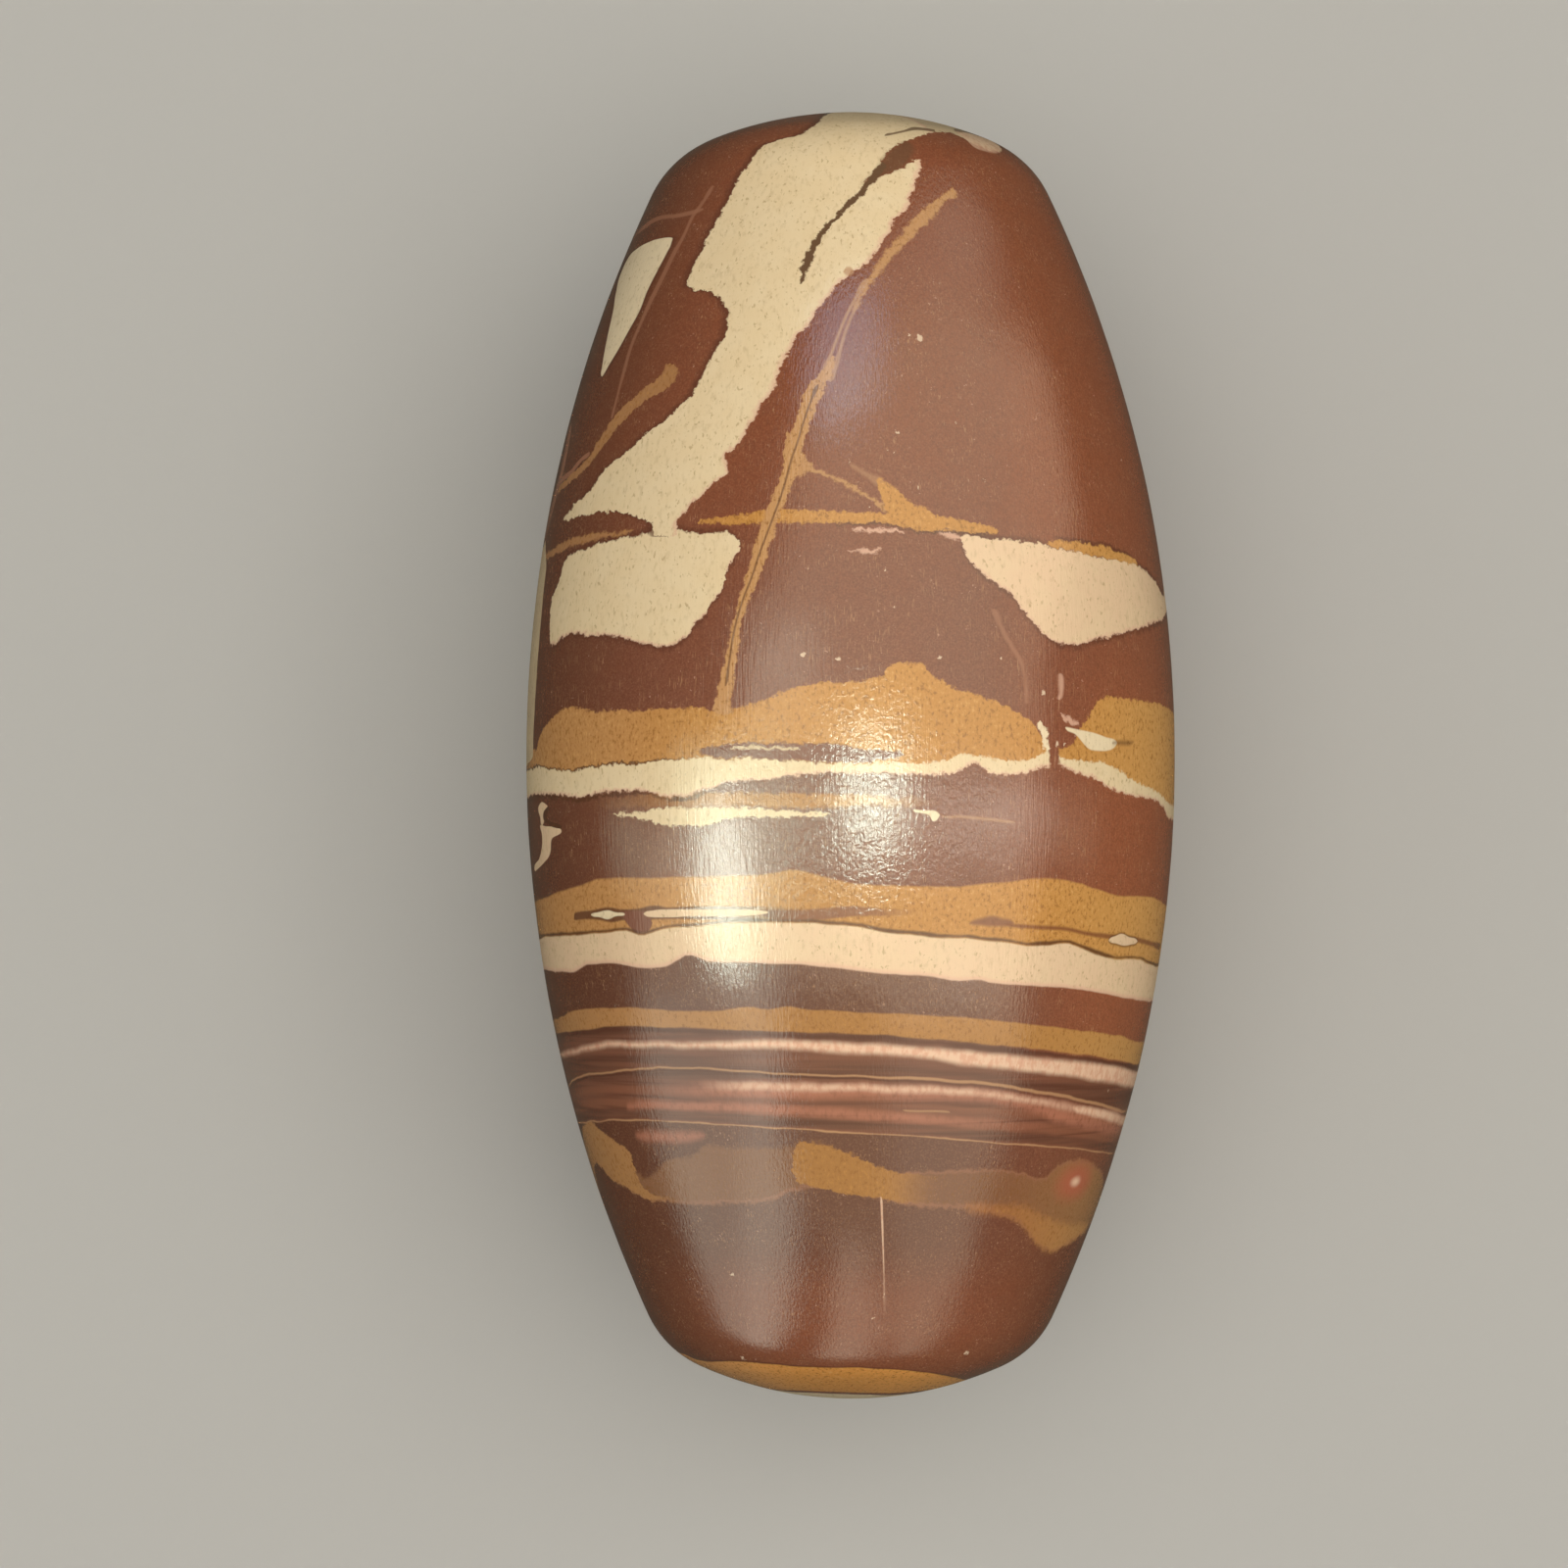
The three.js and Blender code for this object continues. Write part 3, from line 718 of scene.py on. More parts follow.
upperMarks = [
    {"name": "pinkDash", "paint": "pinkRim", "ends": "both", "soft": 0.2, "rough": True, "strength": 0.85,
     "top": [(870, 541), (878, 539), (884, 541), (895, 540), (908, 540), (922, 543)],
     "bottom": [(870, 542), (878, 542), (884, 543), (895, 544), (908, 543), (922, 544)]},
    {"name": "pinkCorner", "paint": "pinkRim", "ends": "both", "soft": 0.3, "rough": True, "strength": 0.8,
     "top": [(957, 542), (968, 542), (980, 547)],
     "bottom": [(957, 544), (968, 548), (980, 551)]},
    {"name": "pinkSpeck", "paint": "pinkRim", "ends": "both", "soft": 0.25, "rough": True, "strength": 0.8,
     "top": [(866, 561), (876, 562), (882, 560), (890, 561), (899, 560)],
     "bottom": [(866, 562), (876, 563.5), (884, 565), (892, 564), (899, 561)]},
    {"name": "dullVein", "paint": "tanFaint", "ends": "both", "soft": 0.3, "straight": True, "strength": 0.8,
     "line": [(1014, 622, 3), (1022, 640, 4), (1033, 660, 4), (1042, 675, 4), (1046, 690, 3), (1048, 717, 3)]},
    {"name": "pinkVein", "paint": "pinkRim", "ends": "both", "soft": 0.35, "straight": True, "strength": 0.65,
     "line": [(1082, 688, 3), (1083, 696, 5), (1083, 706, 4), (1081, 713, 3)]},
    {"name": "crossFracture", "paint": "body", "ends": "both", "soft": 0.3, "rough": True,
     "line": [(1070, 742, 4), (1074, 755, 8), (1076, 768, 10), (1077, 780, 8), (1078, 796, 3)]},
    {"name": "creamCrumb", "paint": "creamPale", "ends": "both", "soft": 0.15, "rough": True,
     "line": [(1060, 738, 4), (1066, 746, 6), (1068, 756, 5), (1070, 766, 4)]},
    {"name": "ochreLevel", "paint": "ochre", "ends": "both", "soft": 0.18, "rough": True,
     "top": [(714, 531), (751, 526), (783, 521), (824, 520), (849, 521), (890, 524), (911, 524), (943, 523),
             (955, 526), (973, 529), (1000, 534), (1017, 541)],
     "bottom": [(714, 534), (726, 535), (780, 534), (847, 533), (880, 534), (907, 535), (929, 540), (945, 542),
                (973, 541), (1000, 544), (1017, 545)],
     "lines": [{"edge": "bottom", "paint": "darkLine", "width": 0.25, "shift": -0.1, "soft": 0.2,
                "from": 836}]},
    {"name": "branchThin", "paint": "ochreSoft", "ends": "both", "soft": 0.3, "rough": True,
     "strength": 0.85,
     "top": [(804, 440), (812, 456), (819, 464), (828, 473), (841, 482), (856, 488), (867, 492), (879, 500),
             (892, 508), (903, 515)],
     "bottom": [(804, 494), (812, 488), (819, 485), (826, 482), (841, 486), (856, 492), (872, 500), (887, 509),
                (903, 521)]},
    {"name": "branchFaint", "paint": "tan", "ends": "both", "soft": 0.4, "straight": True, "strength": 0.45,
     "round": True, "line": [(868, 474, 2), (876, 479, 4), (886, 485, 5), (899, 492, 8)]},
    {"name": "branchWide", "paint": "ochre", "ends": "both", "soft": 0.3, "rough": True,
     "top": [(895, 488), (902, 491), (910, 495), (918, 501), (925, 508), (933, 514), (943, 518), (955, 527)],
     "bottom": [(895, 493), (898, 505), (902, 515), (907, 524), (925, 532), (955, 532)]},
    {"name": "veinTop", "paint": "ochreSoft", "ends": "both", "soft": 0.4, "rough": True, "strength": 0.9,
     "line": [(975, 194, 5), (963, 203, 8), (950, 215, 12), (939, 225, 13), (928, 236, 11), (918, 247, 10),
              (907, 260, 9), (899, 270, 8), (891, 281, 7), (883, 292, 6), (878, 302, 4), (871, 317, 2)]},
    {"name": "twinLeft", "paint": "tan", "ends": "both", "soft": 0.2, "strength": 0.8, "straight": True,
     "line": [(884, 285, 2), (872, 306, 3), (865, 319, 3), (856, 340, 3), (848, 361, 3), (841, 378, 4)]},
    {"name": "twinRight", "paint": "tan", "ends": "both", "soft": 0.2, "strength": 0.7, "straight": True,
     "line": [(876, 308, 2), (870, 320, 3), (862, 340, 3), (856, 361, 4), (852, 375, 5), (846, 388, 5)]},
    {"name": "mainVein", "paint": "ochreSoft", "ends": "both", "soft": 0.2, "rough": True,
     "line": [(851, 364, 3), (846, 374, 8), (838, 388, 14), (831, 400, 17), (826, 410, 17), (820, 430, 15),
              (818, 435, 14), (809, 467, 17), (799, 499, 15), (786, 530, 15), (777, 559, 15), (769, 585, 14),
              (760, 612, 11), (751, 640, 10), (746, 670, 11), (741, 700, 14), (736, 726, 17)]},
    {"name": "veinHeart", "paint": "darkLine", "ends": "both", "soft": 0.12, "strength": 0.7,
     "straight": True,
     "line": [(835, 392, 1), (827, 410, 2), (820, 430, 2), (814, 450, 2), (808, 467, 2), (799, 499, 2),
              (788, 530, 2), (776, 562, 2), (767, 589, 2), (757, 615, 2), (749, 644, 2), (744, 675, 2),
              (740, 700, 1)]},
    {"name": "leftVein", "paint": "ochreBrown", "ends": "both", "soft": 0.25, "rough": True,
     "line": [(686, 374, 12), (681, 386, 15), (665, 397, 12), (646, 412, 10), (630, 428, 9), (614, 451, 7),
              (598, 473, 6), (579, 491, 5), (569, 502, 3)]},
    {"name": "dullFork", "paint": "tanFaint", "ends": "both", "soft": 0.2, "straight": True,
     "line": [(601, 462, 2), (592, 470, 3), (584, 480, 3), (572, 492, 2)]},
    {"name": "tanLong", "paint": "tanFaint", "ends": "both", "soft": 0.2, "straight": True, "strength": 0.75,
     "line": [(727, 190, 2), (717, 206, 3), (707, 220, 3), (697, 241, 3), (687, 259, 4), (676, 282, 4),
              (665, 304, 4), (654, 328, 3), (643, 355, 3), (636, 380, 3), (630, 403, 2), (624, 426, 2)]},
    {"name": "tanArc", "paint": "tanFaint", "ends": "both", "soft": 0.2, "straight": True, "round": True, "strength": 0.8,
     "line": [(643, 246, 2), (653, 235, 3), (671, 223, 4), (696, 219, 4), (717, 213, 2)]},
    {"name": "tanEdge", "paint": "tanFaint", "ends": "both", "soft": 0.2, "straight": True,
     "line": [(582, 434, 2), (578, 458, 3), (574, 478, 3), (567, 504, 3), (560, 531, 3), (554, 556, 2)]},
    {"name": "creamTriangle", "paint": "creamPale", "ends": "both", "soft": 0.15, "straight": True,
     "halo": 0.8, "haloSide": "both",
     "left": [(649, 254), (640, 264), (633, 279), (628, 298), (625, 317), (620, 340), (617, 355), (614, 374),
              (613, 383)],
     "right": [(686, 243), (684, 250), (681, 256), (671, 275), (660, 297), (652, 317), (641, 337),
               (630, 357), (621, 372), (614, 384)]},
    # Painted shade: the cap's cream is darkened.
    {"name": "capCream", "paint": "creamGrey", "ring": True, "soft": 0.2, "rough": True, "ceiling": True,
     "bottom": [(836, 125), (870, 130), (900, 134), (946, 135), (958, 134), (971, 135), (981, 139),
                (987, 142), (997, 149), (1010, 152), (1022, 152)],
     "bottomBehind": [(-150, 50), (-110, 58), (-70, 60), (-25, 59), (-14, 57), (75, 57), (110, 50), (140, 40), (165, 36),
                      (-175, 42)]},
    {"name": "streak", "paint": "cream", "soft": 0.15, "rough": True, "ends": "start", "halo": 0.9,
     "haloSide": "left", "rim": 0.5, "rimSide": "right",
     "left": [(836, 124), (820, 135), (795, 142), (778, 149), (771, 157), (765, 166), (757, 176), (748, 193),
              (740, 209), (732, 224), (723, 239), (717, 254), (709, 268), (703, 281), (701, 289), (706, 294),
              (722, 297), (732, 301), (739, 310), (743, 321), (741, 339), (732, 354), (725, 367),
              (719, 380), (713, 390), (706, 403), (692, 415), (677, 430), (658, 443), (644, 457),
              (629, 468), (616, 480), (608, 493), (600, 503), (593, 510), (584, 519), (590, 522),
              (640, 524), (648, 527), (655, 530), (665, 534), (668, 545)],
     "right": [(951, 135), (950, 148), (944, 158), (940, 164), (938, 176), (934, 186), (932, 194),
               (928, 202), (925, 214), (918, 219), (912, 224), (910, 231), (905, 239), (899, 247), (896, 253),
               (890, 260), (887, 266), (878, 272), (870, 278), (860, 286),
               (853, 293), (845, 304), (834, 316), (825, 331), (812, 343), (806, 356),
               (797, 373), (794, 385), (785, 401), (776, 413), (770, 426), (762, 438), (755, 450),
               (745, 457), (739, 465), (743, 479), (738, 486), (727, 493), (717, 504), (707, 512),
               (698, 524), (690, 535), (690, 545)]},
    {"name": "streakTip", "paint": "cream", "ends": "both", "soft": 0.15, "rough": True,
     "top": [(575, 529), (580, 523), (586, 518), (596, 512), (606, 512)],
     "bottom": [(575, 530), (586, 529), (594, 525), (606, 524)]},
    {"name": "wedge", "paint": "body", "ends": "both", "soft": 0.15, "rough": True,
     "left": [(951, 135), (939, 138), (926, 143), (915, 148.5), (907, 155), (901, 162), (896.5, 170),
              (888, 179), (882, 187)],
     "right": [(964, 140), (960, 150), (954, 158), (948, 162.5), (938, 164.5), (928.5, 166.5), (920.5, 172),
               (905, 178), (897, 181), (887, 189)]},
    {"name": "wedgeShade", "paint": "fissure", "ends": "both", "soft": 0.8, "strength": 0.65,
     "left": [(926, 143), (915, 149), (907, 155), (901, 162), (897, 170), (888, 179), (882, 187)],
     "right": [(932, 150), (929, 162), (920, 171), (905, 178), (897, 181), (892, 185), (887, 189)]},
    {"name": "fissure", "paint": "fissure", "ends": "both", "soft": 0.15, "rough": True,
     "line": [(903, 168, 5), (896, 175, 8), (886, 187, 6), (875, 200, 5), (865, 208, 6), (857, 218, 4),
              (846, 229, 5), (837, 241, 6), (829, 252, 7), (824, 265, 8), (820, 277, 6), (816, 291, 2)]},
    {"name": "capPink", "paint": "pinkPale", "ends": "both", "soft": 0.3, "strength": 0.6,
     "top": [(976, 133), (990, 135), (1005, 140), (1021, 148)],
     "bottom": [(976, 135), (984, 140), (993, 149), (1006, 154), (1021, 153)]},
    {"name": "capCrack", "paint": "fissure", "ends": "both", "soft": 0.12, "round": True, "straight": True,
     "strength": 0.85,
     "line": [(903, 138, 1), (912, 136, 2), (921, 134, 2), (936, 131, 3), (954, 133, 2)]},
    {"name": "capCrackRight", "paint": "fissure", "ends": "both", "soft": 0.2, "round": True, "straight": True,
     "strength": 0.7, "line": [(974, 133, 1), (988, 134, 2), (1002, 138, 2), (1014, 143, 1)]},
    {"name": "rustSpot", "paint": "tan", "ends": "both", "soft": 0.3, "straight": True, "strength": 0.8,
     "top": [(861, 276), (866, 272), (871, 276)], "bottom": [(861, 278), (866, 281), (871, 278)]},
    {"name": "scratch", "paint": "pinkPale", "ends": "both", "soft": 0.1, "strength": 0.8, "straight": True,
     "fade": [((900, 1270), (903, 1350))],
     "line": [(899, 1222, 1), (900, 1240, 2), (901, 1268, 1.5), (902, 1300, 1), (903, 1350, 1)]},
]

# Marks guessed for the back, where the photo shows nothing: left and right seen from outside with
# the photo's top up, as places behind.
backMarks = [
    {"name": "backStreak", "paint": "cream", "ends": "both", "soft": 0.2, "rough": True, "halo": 0.8,
     "haloSide": "left", "rim": 0.5, "rimSide": "right",
     "leftBehind": [(-166, 58), (-172, 47), (-176, 38), (-171, 30), (-160, 24), (-146, 17), (-128, 11),
                    (-118, 3)],
     "rightBehind": [(-142, 58), (-148, 46), (-152, 36), (-146, 30), (-132, 25), (-118, 20), (-108, 14),
                     (-107, 3)]},
    {"name": "backVein", "paint": "ochre", "ends": "both", "soft": 0.2, "rough": True,
     "leftBehind": [(146, 47), (152, 36), (158, 22), (163, 8)],
     "rightBehind": [(148, 47), (154.6, 36), (160.5, 22), (164.5, 8)]},
]

# Small pale chips and flecks: where, and how wide and tall in millimetres.
flecks = [
    ((1004, 490), 0.22, 0.22), ((904, 580), 0.2, 0.3), ((912, 619), 0.15, 0.15), ((820, 668), 0.25, 0.3),
    ((856, 673), 0.4, 0.35), ((959, 672), 0.3, 0.4), ((1022, 673), 0.2, 0.2), ((1065, 708), 0.25, 0.5),
    ((1145, 470), 0.2, 0.25), ((938, 345), 0.5, 0.45), ((917, 441), 0.35, 0.3), ((906, 457), 0.15, 0.3),
    ((867, 472), 0.15, 0.3), ((887, 518), 0.15, 0.3), ((976, 432), 0.15, 0.25), ((1062, 1369), 0.18, 0.7),
    ((986, 1381), 0.45, 0.35), ((757, 1386), 0.4, 0.3), ((747, 1300), 0.25, 0.2), ((902, 1322), 0.15, 0.8),
    ((892, 1345), 0.15, 0.7), ((1131, 1113), 0.15, 0.2), ((1079, 759), 0.45, 0.4), ((1086, 760), 0.2, 0.25),
    ((928, 343), 0.2, 0.5), ((912, 462), 0.15, 0.4), ((938, 500), 0.15, 0.5), ((566, 990), 0.25, 0.5), ((940, 967), 0.1, 0.1),
]


# A vein's centre line with its widths, as its two edges.
def besideLine(line):
    low, high = [], []
    for i, (x, y, wide) in enumerate(line):
        before = line[max(i - 1, 0)]
        after = line[min(i + 1, len(line) - 1)]
        along = Vector((after[0] - before[0], after[1] - before[1])).normalized()
        offset = Vector((-along.y, along.x)) * wide / 2
        low.append((x - offset.x, y - offset.y))
        high.append((x + offset.x, y + offset.y))
    return low, high


crossing = {"past": 0.002, "by": 0.012, "level": 0.1}


# The (run, value) points of a mark's two edges, lower value first.
def edgesOf(mark):
    lengthwise = "left" in mark or "leftBehind" in mark or ("line" in mark and not mark.get("round"))
    titles = ("left", "right") if lengthwise else ("bottom", "top")
    if "line" in mark:
        pixels = besideLine(mark["line"])
        edges = [[fromPixel(pixel) for pixel in side] for side in pixels]
    else:
        edges = []
        for title in titles:
            spots = [fromPixel(pixel) for pixel in mark.get(title, [])]
            spots += [fromBehind(*spot) for spot in mark.get(title + "Behind", [])]
            edges.append(spots)
    if lengthwise:
        edges = [[(along, around) for around, along in edge] for edge in edges]
    if mark.get("floor"):
        edges[0] = [(0, -crossing["level"])]
    if mark.get("ceiling"):
        edges[1] = [(0, 1 + crossing["level"])]
    edges = [sorted(edge) for edge in edges]
    middle = [sum(value for run, value in edge) / len(edge) for edge in edges]
    if middle[0] > middle[1]:
        edges.reverse()
    if mark.get("ring"):
        for edge in edges:
            seam = (edge[0][1] + edge[-1][1]) / 2
            edge.insert(0, (0, seam))
            edge.append((1, seam))
    for end, way, names in ((0, -1, ("both", "start")), (-1, 1, ("both", "end"))):
        if mark.get("ends") in names:
            run = way * max(way * edge[end][0] for edge in edges) + way * crossing["past"]
            value = (edges[0][end][1] + edges[1][end][1]) / 2
            edges[0].append((run, value + crossing["by"]))
            edges[1].append((run, value - crossing["by"]))
            edges = [sorted(edge) for edge in edges]
    return lengthwise, edges


# The surface itself. Sizes and shifts are millimetres.
grain = {
    "smoothSize": 2.6, "smoothShift": 0.35,
    "roughSize": 0.5, "roughShift": 0.95,
    "wanderSize": 17, "wanderShift": 5.0,       # only where the photo doesn't reach
    "creamSize": (0.4, 0.8, 0.4),
    "pitSize": (0.26, 0.46, 0.26),
    "speckSize": (0.26, 0.38, 0.26),
    "mottleSize": 2.2, "dustSize": 0.14, "chipSize": 0.24,
    "scratchSize": (0.09, 1.1, 0.09),
    "streakSize": (0.16, 4.0, 0.16), "streakHeight": 0.02,
    "peelSize": 0.5, "peelHeight": 0.034, "peelMiddle": (875, 810), "peelReach": (4.0, 14.0),
    "waveSize": 2.6, "waveHeight": 0.006,
    "leastRadius": 2.5,
}

# How dark, how purple and how much redder and lighter the body is, from the photo's top to its bottom; the
# lighter part is painted light.
plumShare = [((867, 900), 0.0), ((867, 985), 0.9), ((867, 1230), 0.9), ((867, 1290), 0.6), ((867, 1335), 0.1),
             ((867, 1390), 0.0)]
redderPaintedLightShare = [((867, 160), 0.0), ((867, 400), 0.25), ((867, 640), 0.5), ((867, 800), 0.9), ((867, 1040), 0.9),
             ((867, 1150), 0.3), ((867, 1230), 0.0)]
purpleShare = [((867, 160), 0.05), ((867, 420), 0.1), ((867, 560), 0.55), ((867, 640), 0.8), ((867, 880), 0.85),
               ((867, 1010), 0.95), ((867, 1240), 0.6), ((867, 1390), 0.3)]


def vectorCalc(tree, operation, first, second):
    node = tree.nodes.new("ShaderNodeVectorMath")
    node.operation = operation
    feed(tree, first, node.inputs[0])
    feed(tree, second, node.inputs[1])
    return node.outputs["Value"] if operation == "LENGTH" else node.outputs["Vector"]


def parts(tree, vector):
    node = tree.nodes.new("ShaderNodeSeparateXYZ")
    feed(tree, vector, node.inputs[0])
    return node.outputs


def inverse(sizes):
    return tuple(1 / size for size in sizes)


# The unrolled place shifted by a noise, so that an edge looks broken and not drawn.
def shiftedPlace(tree, around, along, girth, noise, amount):
    shifts = parts(tree, noise.outputs["Color"])
    result = []
    for place, shift, millimetres in ((around, shifts[0], girth), (along, shifts[1], halfOutline * 2000)):
        moved = calc(tree, "MULTIPLY", calc(tree, "SUBTRACT", shift, 0.5), amount)
        result.append(calc(tree, "ADD", place, calc(tree, "DIVIDE", moved, millimetres)))
    return result, shifts[2]


def placeFields(tree):
    uv = tree.nodes.new("ShaderNodeUVMap")
    uv.uv_map = "unrolled"
    around, along, unused = parts(tree, uv.outputs["UV"])
    coordinates = tree.nodes.new("ShaderNodeTexCoord")
    spot = vectorCalc(tree, "MULTIPLY", coordinates.outputs["Object"], (1000, 1000, 1000))
    fromAxis = vectorCalc(tree, "SUBTRACT", spot, (0, 0, axisHeight * 1000))
    fromAxis = vectorCalc(tree, "MULTIPLY", fromAxis, (1, 0, 1 / flattening))
    radius = calc(tree, "MAXIMUM", vectorCalc(tree, "LENGTH", fromAxis, (0, 0, 0)), grain["leastRadius"])
    girth = calc(tree, "MULTIPLY", radius, math.tau)
    behind = ease(tree, calc(tree, "DIVIDE", parts(tree, fromAxis)[2], radius), 0.0, -0.45)
    wander = blotches(tree, spot, 1 / grain["wanderSize"], 1.0)
    reach = calc(tree, "MULTIPLY", behind, grain["wanderShift"])
    (around, along), unused = shiftedPlace(tree, around, along, girth, wander, reach)
    smooth = blotches(tree, spot, 1 / grain["smoothSize"], 2.0)
    (smoothAround, smoothAlong), smoothWobble = shiftedPlace(tree, around, along, girth, smooth,
                                                             grain["smoothShift"])
    rough = blotches(tree, spot, 1 / grain["roughSize"], 4.0, 0.65)
    (roughAround, roughAlong), roughWobble = shiftedPlace(tree, smoothAround, smoothAlong, girth, rough,
                                                          grain["roughShift"])
    broken = vectorCalc(tree, "SUBTRACT", rough.outputs["Color"], (0.5, 0.5, 0.5))
    broken = vectorCalc(tree, "MULTIPLY", broken, (grain["roughShift"],) * 3)
    return {"spot": spot, "girth": girth, "behind": behind,
            "brokenSpot": vectorCalc(tree, "ADD", spot, broken),
            "straightAround": around, "straightAlong": along,
            "smoothAround": smoothAround, "smoothAlong": smoothAlong, "smoothWobble": smoothWobble,
            "roughAround": roughAround, "roughAlong": roughAlong, "roughWobble": roughWobble}


# The colours with their pits, specks and mottling, and with painted light and shade on the sides of the stone.
def variedPaints(tree, fields):
    spot = fields["spot"]
    mottle = blotches(tree, spot, 1 / grain["mottleSize"], 3.0, 0.6).outputs["Fac"]
    cloud = blotches(tree, spot, 1.0, 3.0, 0.6, 0.0, inverse(grain["creamSize"])).outputs["Fac"]
    pits = blotches(tree, spot, 1.0, 2.0, 0.55, 0.0, inverse(grain["pitSize"])).outputs["Fac"]
    speck = blotches(tree, spot, 1.0, 3.5, 0.62, 0.0, inverse(grain["speckSize"])).outputs["Fac"]
    scratches = blotches(tree, spot, 1.0, 1.5, 0.5, 0.0, inverse(grain["scratchSize"])).outputs["Fac"]
    pitMask = ease(tree, pits, 0.61, 0.71, 0.0, 0.55)
    pitMask = calc(tree, "MULTIPLY_ADD", ease(tree, cloud, 0.5, 0.75), 0.3, pitMask)
    darkSpeck = ease(tree, speck, 0.52, 0.67, 0.0, 0.7)
    lightSpeck = ease(tree, speck, 0.45, 0.3, 0.0, 0.45)
    lower = ease(tree, fields["straightAlong"], fromPixel((867, 840))[1], fromPixel((867, 890))[1])
    seen = calc(tree, "MULTIPLY", ease(tree, fields["straightAround"], 0.04, 0.18),
                ease(tree, fields["straightAround"], 0.96, 0.82))
    # Painted light and shade on the ochres: lighter towards the right side, duller towards the left side, and
    # darker in the middle of the lower part.
    bright = calc(tree, "MULTIPLY", ease(tree, fields["straightAround"], 0.56, 0.7, 0.0, 0.4), seen)
    ochrePaintedShadeLeft = calc(tree, "MULTIPLY", ease(tree, fields["straightAround"], 0.46, 0.36, 0.0, 0.4), seen)
    dark = calc(tree, "MULTIPLY", ease(tree, fields["straightAround"], 0.56, 0.49, 0.0, 0.2), lower)
    dark = calc(tree, "MULTIPLY", dark, ease(tree, fields["straightAround"], 0.4, 0.46))
    paints = dict(jasper)
    for name, lighter in (("cream", "creamPale"), ("creamPink", "cream"), ("creamPale", "creamPale"),
                          ("creamGrey", "cream")):
        base = blendColour(tree, ease(tree, mottle, 0.35, 0.7, 0.0, 0.35), jasper[name], jasper[lighter])
        paints[name] = blendColour(tree, pitMask, base, jasper["pit"])
    for name, lighter in (("ochre", "ochreLight"), ("ochreDull", "ochreWarm"), ("ochreBrown", "ochre"),
                          ("ochreWarm", "ochre"), ("ochreRing", "ochreLight"),
                          ("ochreDeep", "ochre"), ("ochreBlob", "ochre"), ("ochreSoft", "tan")):
        # Painted light on the right; painted shade on the left and in the lower middle.
        base = blendColour(tree, bright, jasper[name], jasper["ochreLight"])
        base = blendColour(tree, ochrePaintedShadeLeft, base, jasper["tan"])
        base = blendColour(tree, dark, base, jasper["ochreDark"])
        base = blendColour(tree, darkSpeck, base, jasper["ochreDark"])
        paints[name] = blendColour(tree, lightSpeck, base, jasper[lighter])
    flush = calc(tree, "MULTIPLY_ADD", ease(tree, fields["straightAround"], 0.42, 0.3, 0.0, 0.2), seen,
                 ease(tree, cloud, 0.42, 0.64, 0.0, 0.45))
    paints["pinkPale"] = blendColour(tree, flush, jasper["pinkPale"], jasper["pink"])
    paints["pink"] = blendColour(tree, ease(tree, cloud, 0.45, 0.7, 0.0, 0.6), jasper["pink"], jasper["salmon"])
    purple = curveThrough(tree, "purple", [(fromPixel(pixel)[1], share) for pixel, share in purpleShare],
                          fields["straightAlong"])
    purple = calc(tree, "ADD", purple, calc(tree, "MULTIPLY", calc(tree, "SUBTRACT", mottle, 0.5), 0.8),
                  clamp=True)
    body = blendColour(tree, purple, jasper["bodyRed"], jasper["bodyPurple"])
    plum = curveThrough(tree, "plum", [(fromPixel(pixel)[1], share) for pixel, share in plumShare],
                        fields["straightAlong"])
    plum = calc(tree, "MULTIPLY", plum, ease(tree, fields["straightAround"], 0.53, 0.63, 1.0, 0.35))
    body = blendColour(tree, plum, body, jasper["bodyPlum"])
    # Redder and lighter on the right side: partly the stone's own redder tone, partly painted light.
    warm = curveThrough(tree, "warm", [(fromPixel(pixel)[1], share) for pixel, share in redderPaintedLightShare],
                        fields["straightAlong"])
    warm = calc(tree, "MULTIPLY", warm, ease(tree, fields["straightAround"], 0.55, 0.66))
    warm = calc(tree, "MULTIPLY", warm, seen)
    body = blendColour(tree, warm, body, jasper["bodyRedPaintedLight"])
    # Painted shade: the body darkens towards the left side, away from the light.
    bodyPaintedShadeLeft = calc(tree, "MULTIPLY", ease(tree, fields["straightAround"], 0.44, 0.3, 0.0, 0.9), seen)
    body = blendColour(tree, bodyPaintedShadeLeft, body, jasper["bodyPaintedShade"])
    # Painted shade: the body darkens at the lower end of the right side as well.
    bodyPaintedShadeLowRight = calc(tree, "MULTIPLY", ease(tree, fields["straightAround"], 0.58, 0.7, 0.0, 0.6),
                    ease(tree, fields["straightAlong"], fromPixel((867, 1200))[1], fromPixel((867, 1290))[1]))
    body = blendColour(tree, calc(tree, "MULTIPLY", bodyPaintedShadeLowRight, seen), body, jasper["bodyPaintedShade"])
    body = blendColour(tree, ease(tree, speck, 0.4, 0.7, 0.0, 0.25), body, jasper["bodyDark"])
    dust = blotches(tree, spot, 1 / grain["dustSize"], 2.0).outputs["Fac"]
    body = blendColour(tree, ease(tree, dust, 0.5, 0.7, 0.0, 0.28), body, jasper["bodyDark"])
    body = blendColour(tree, ease(tree, dust, 0.5, 0.3, 0.0, 0.14), body, jasper["tan"])
    worn = ease(tree, mottle, 0.42, 0.62, 0.0, 0.5)
    scratched = calc(tree, "MULTIPLY", ease(tree, scratches, 0.6, 0.72), worn)
    body = blendColour(tree, scratched, body, jasper["tan"])
    chips = blotches(tree, spot, 1 / grain["chipSize"], 1.0).outputs["Fac"]
    chipped = calc(tree, "MULTIPLY", ease(tree, chips, 0.7, 0.76, 0.0, 0.8), worn)
    body = blendColour(tree, chipped, body, jasper["pinkRim"])
    paints["body"] = body
    return paints


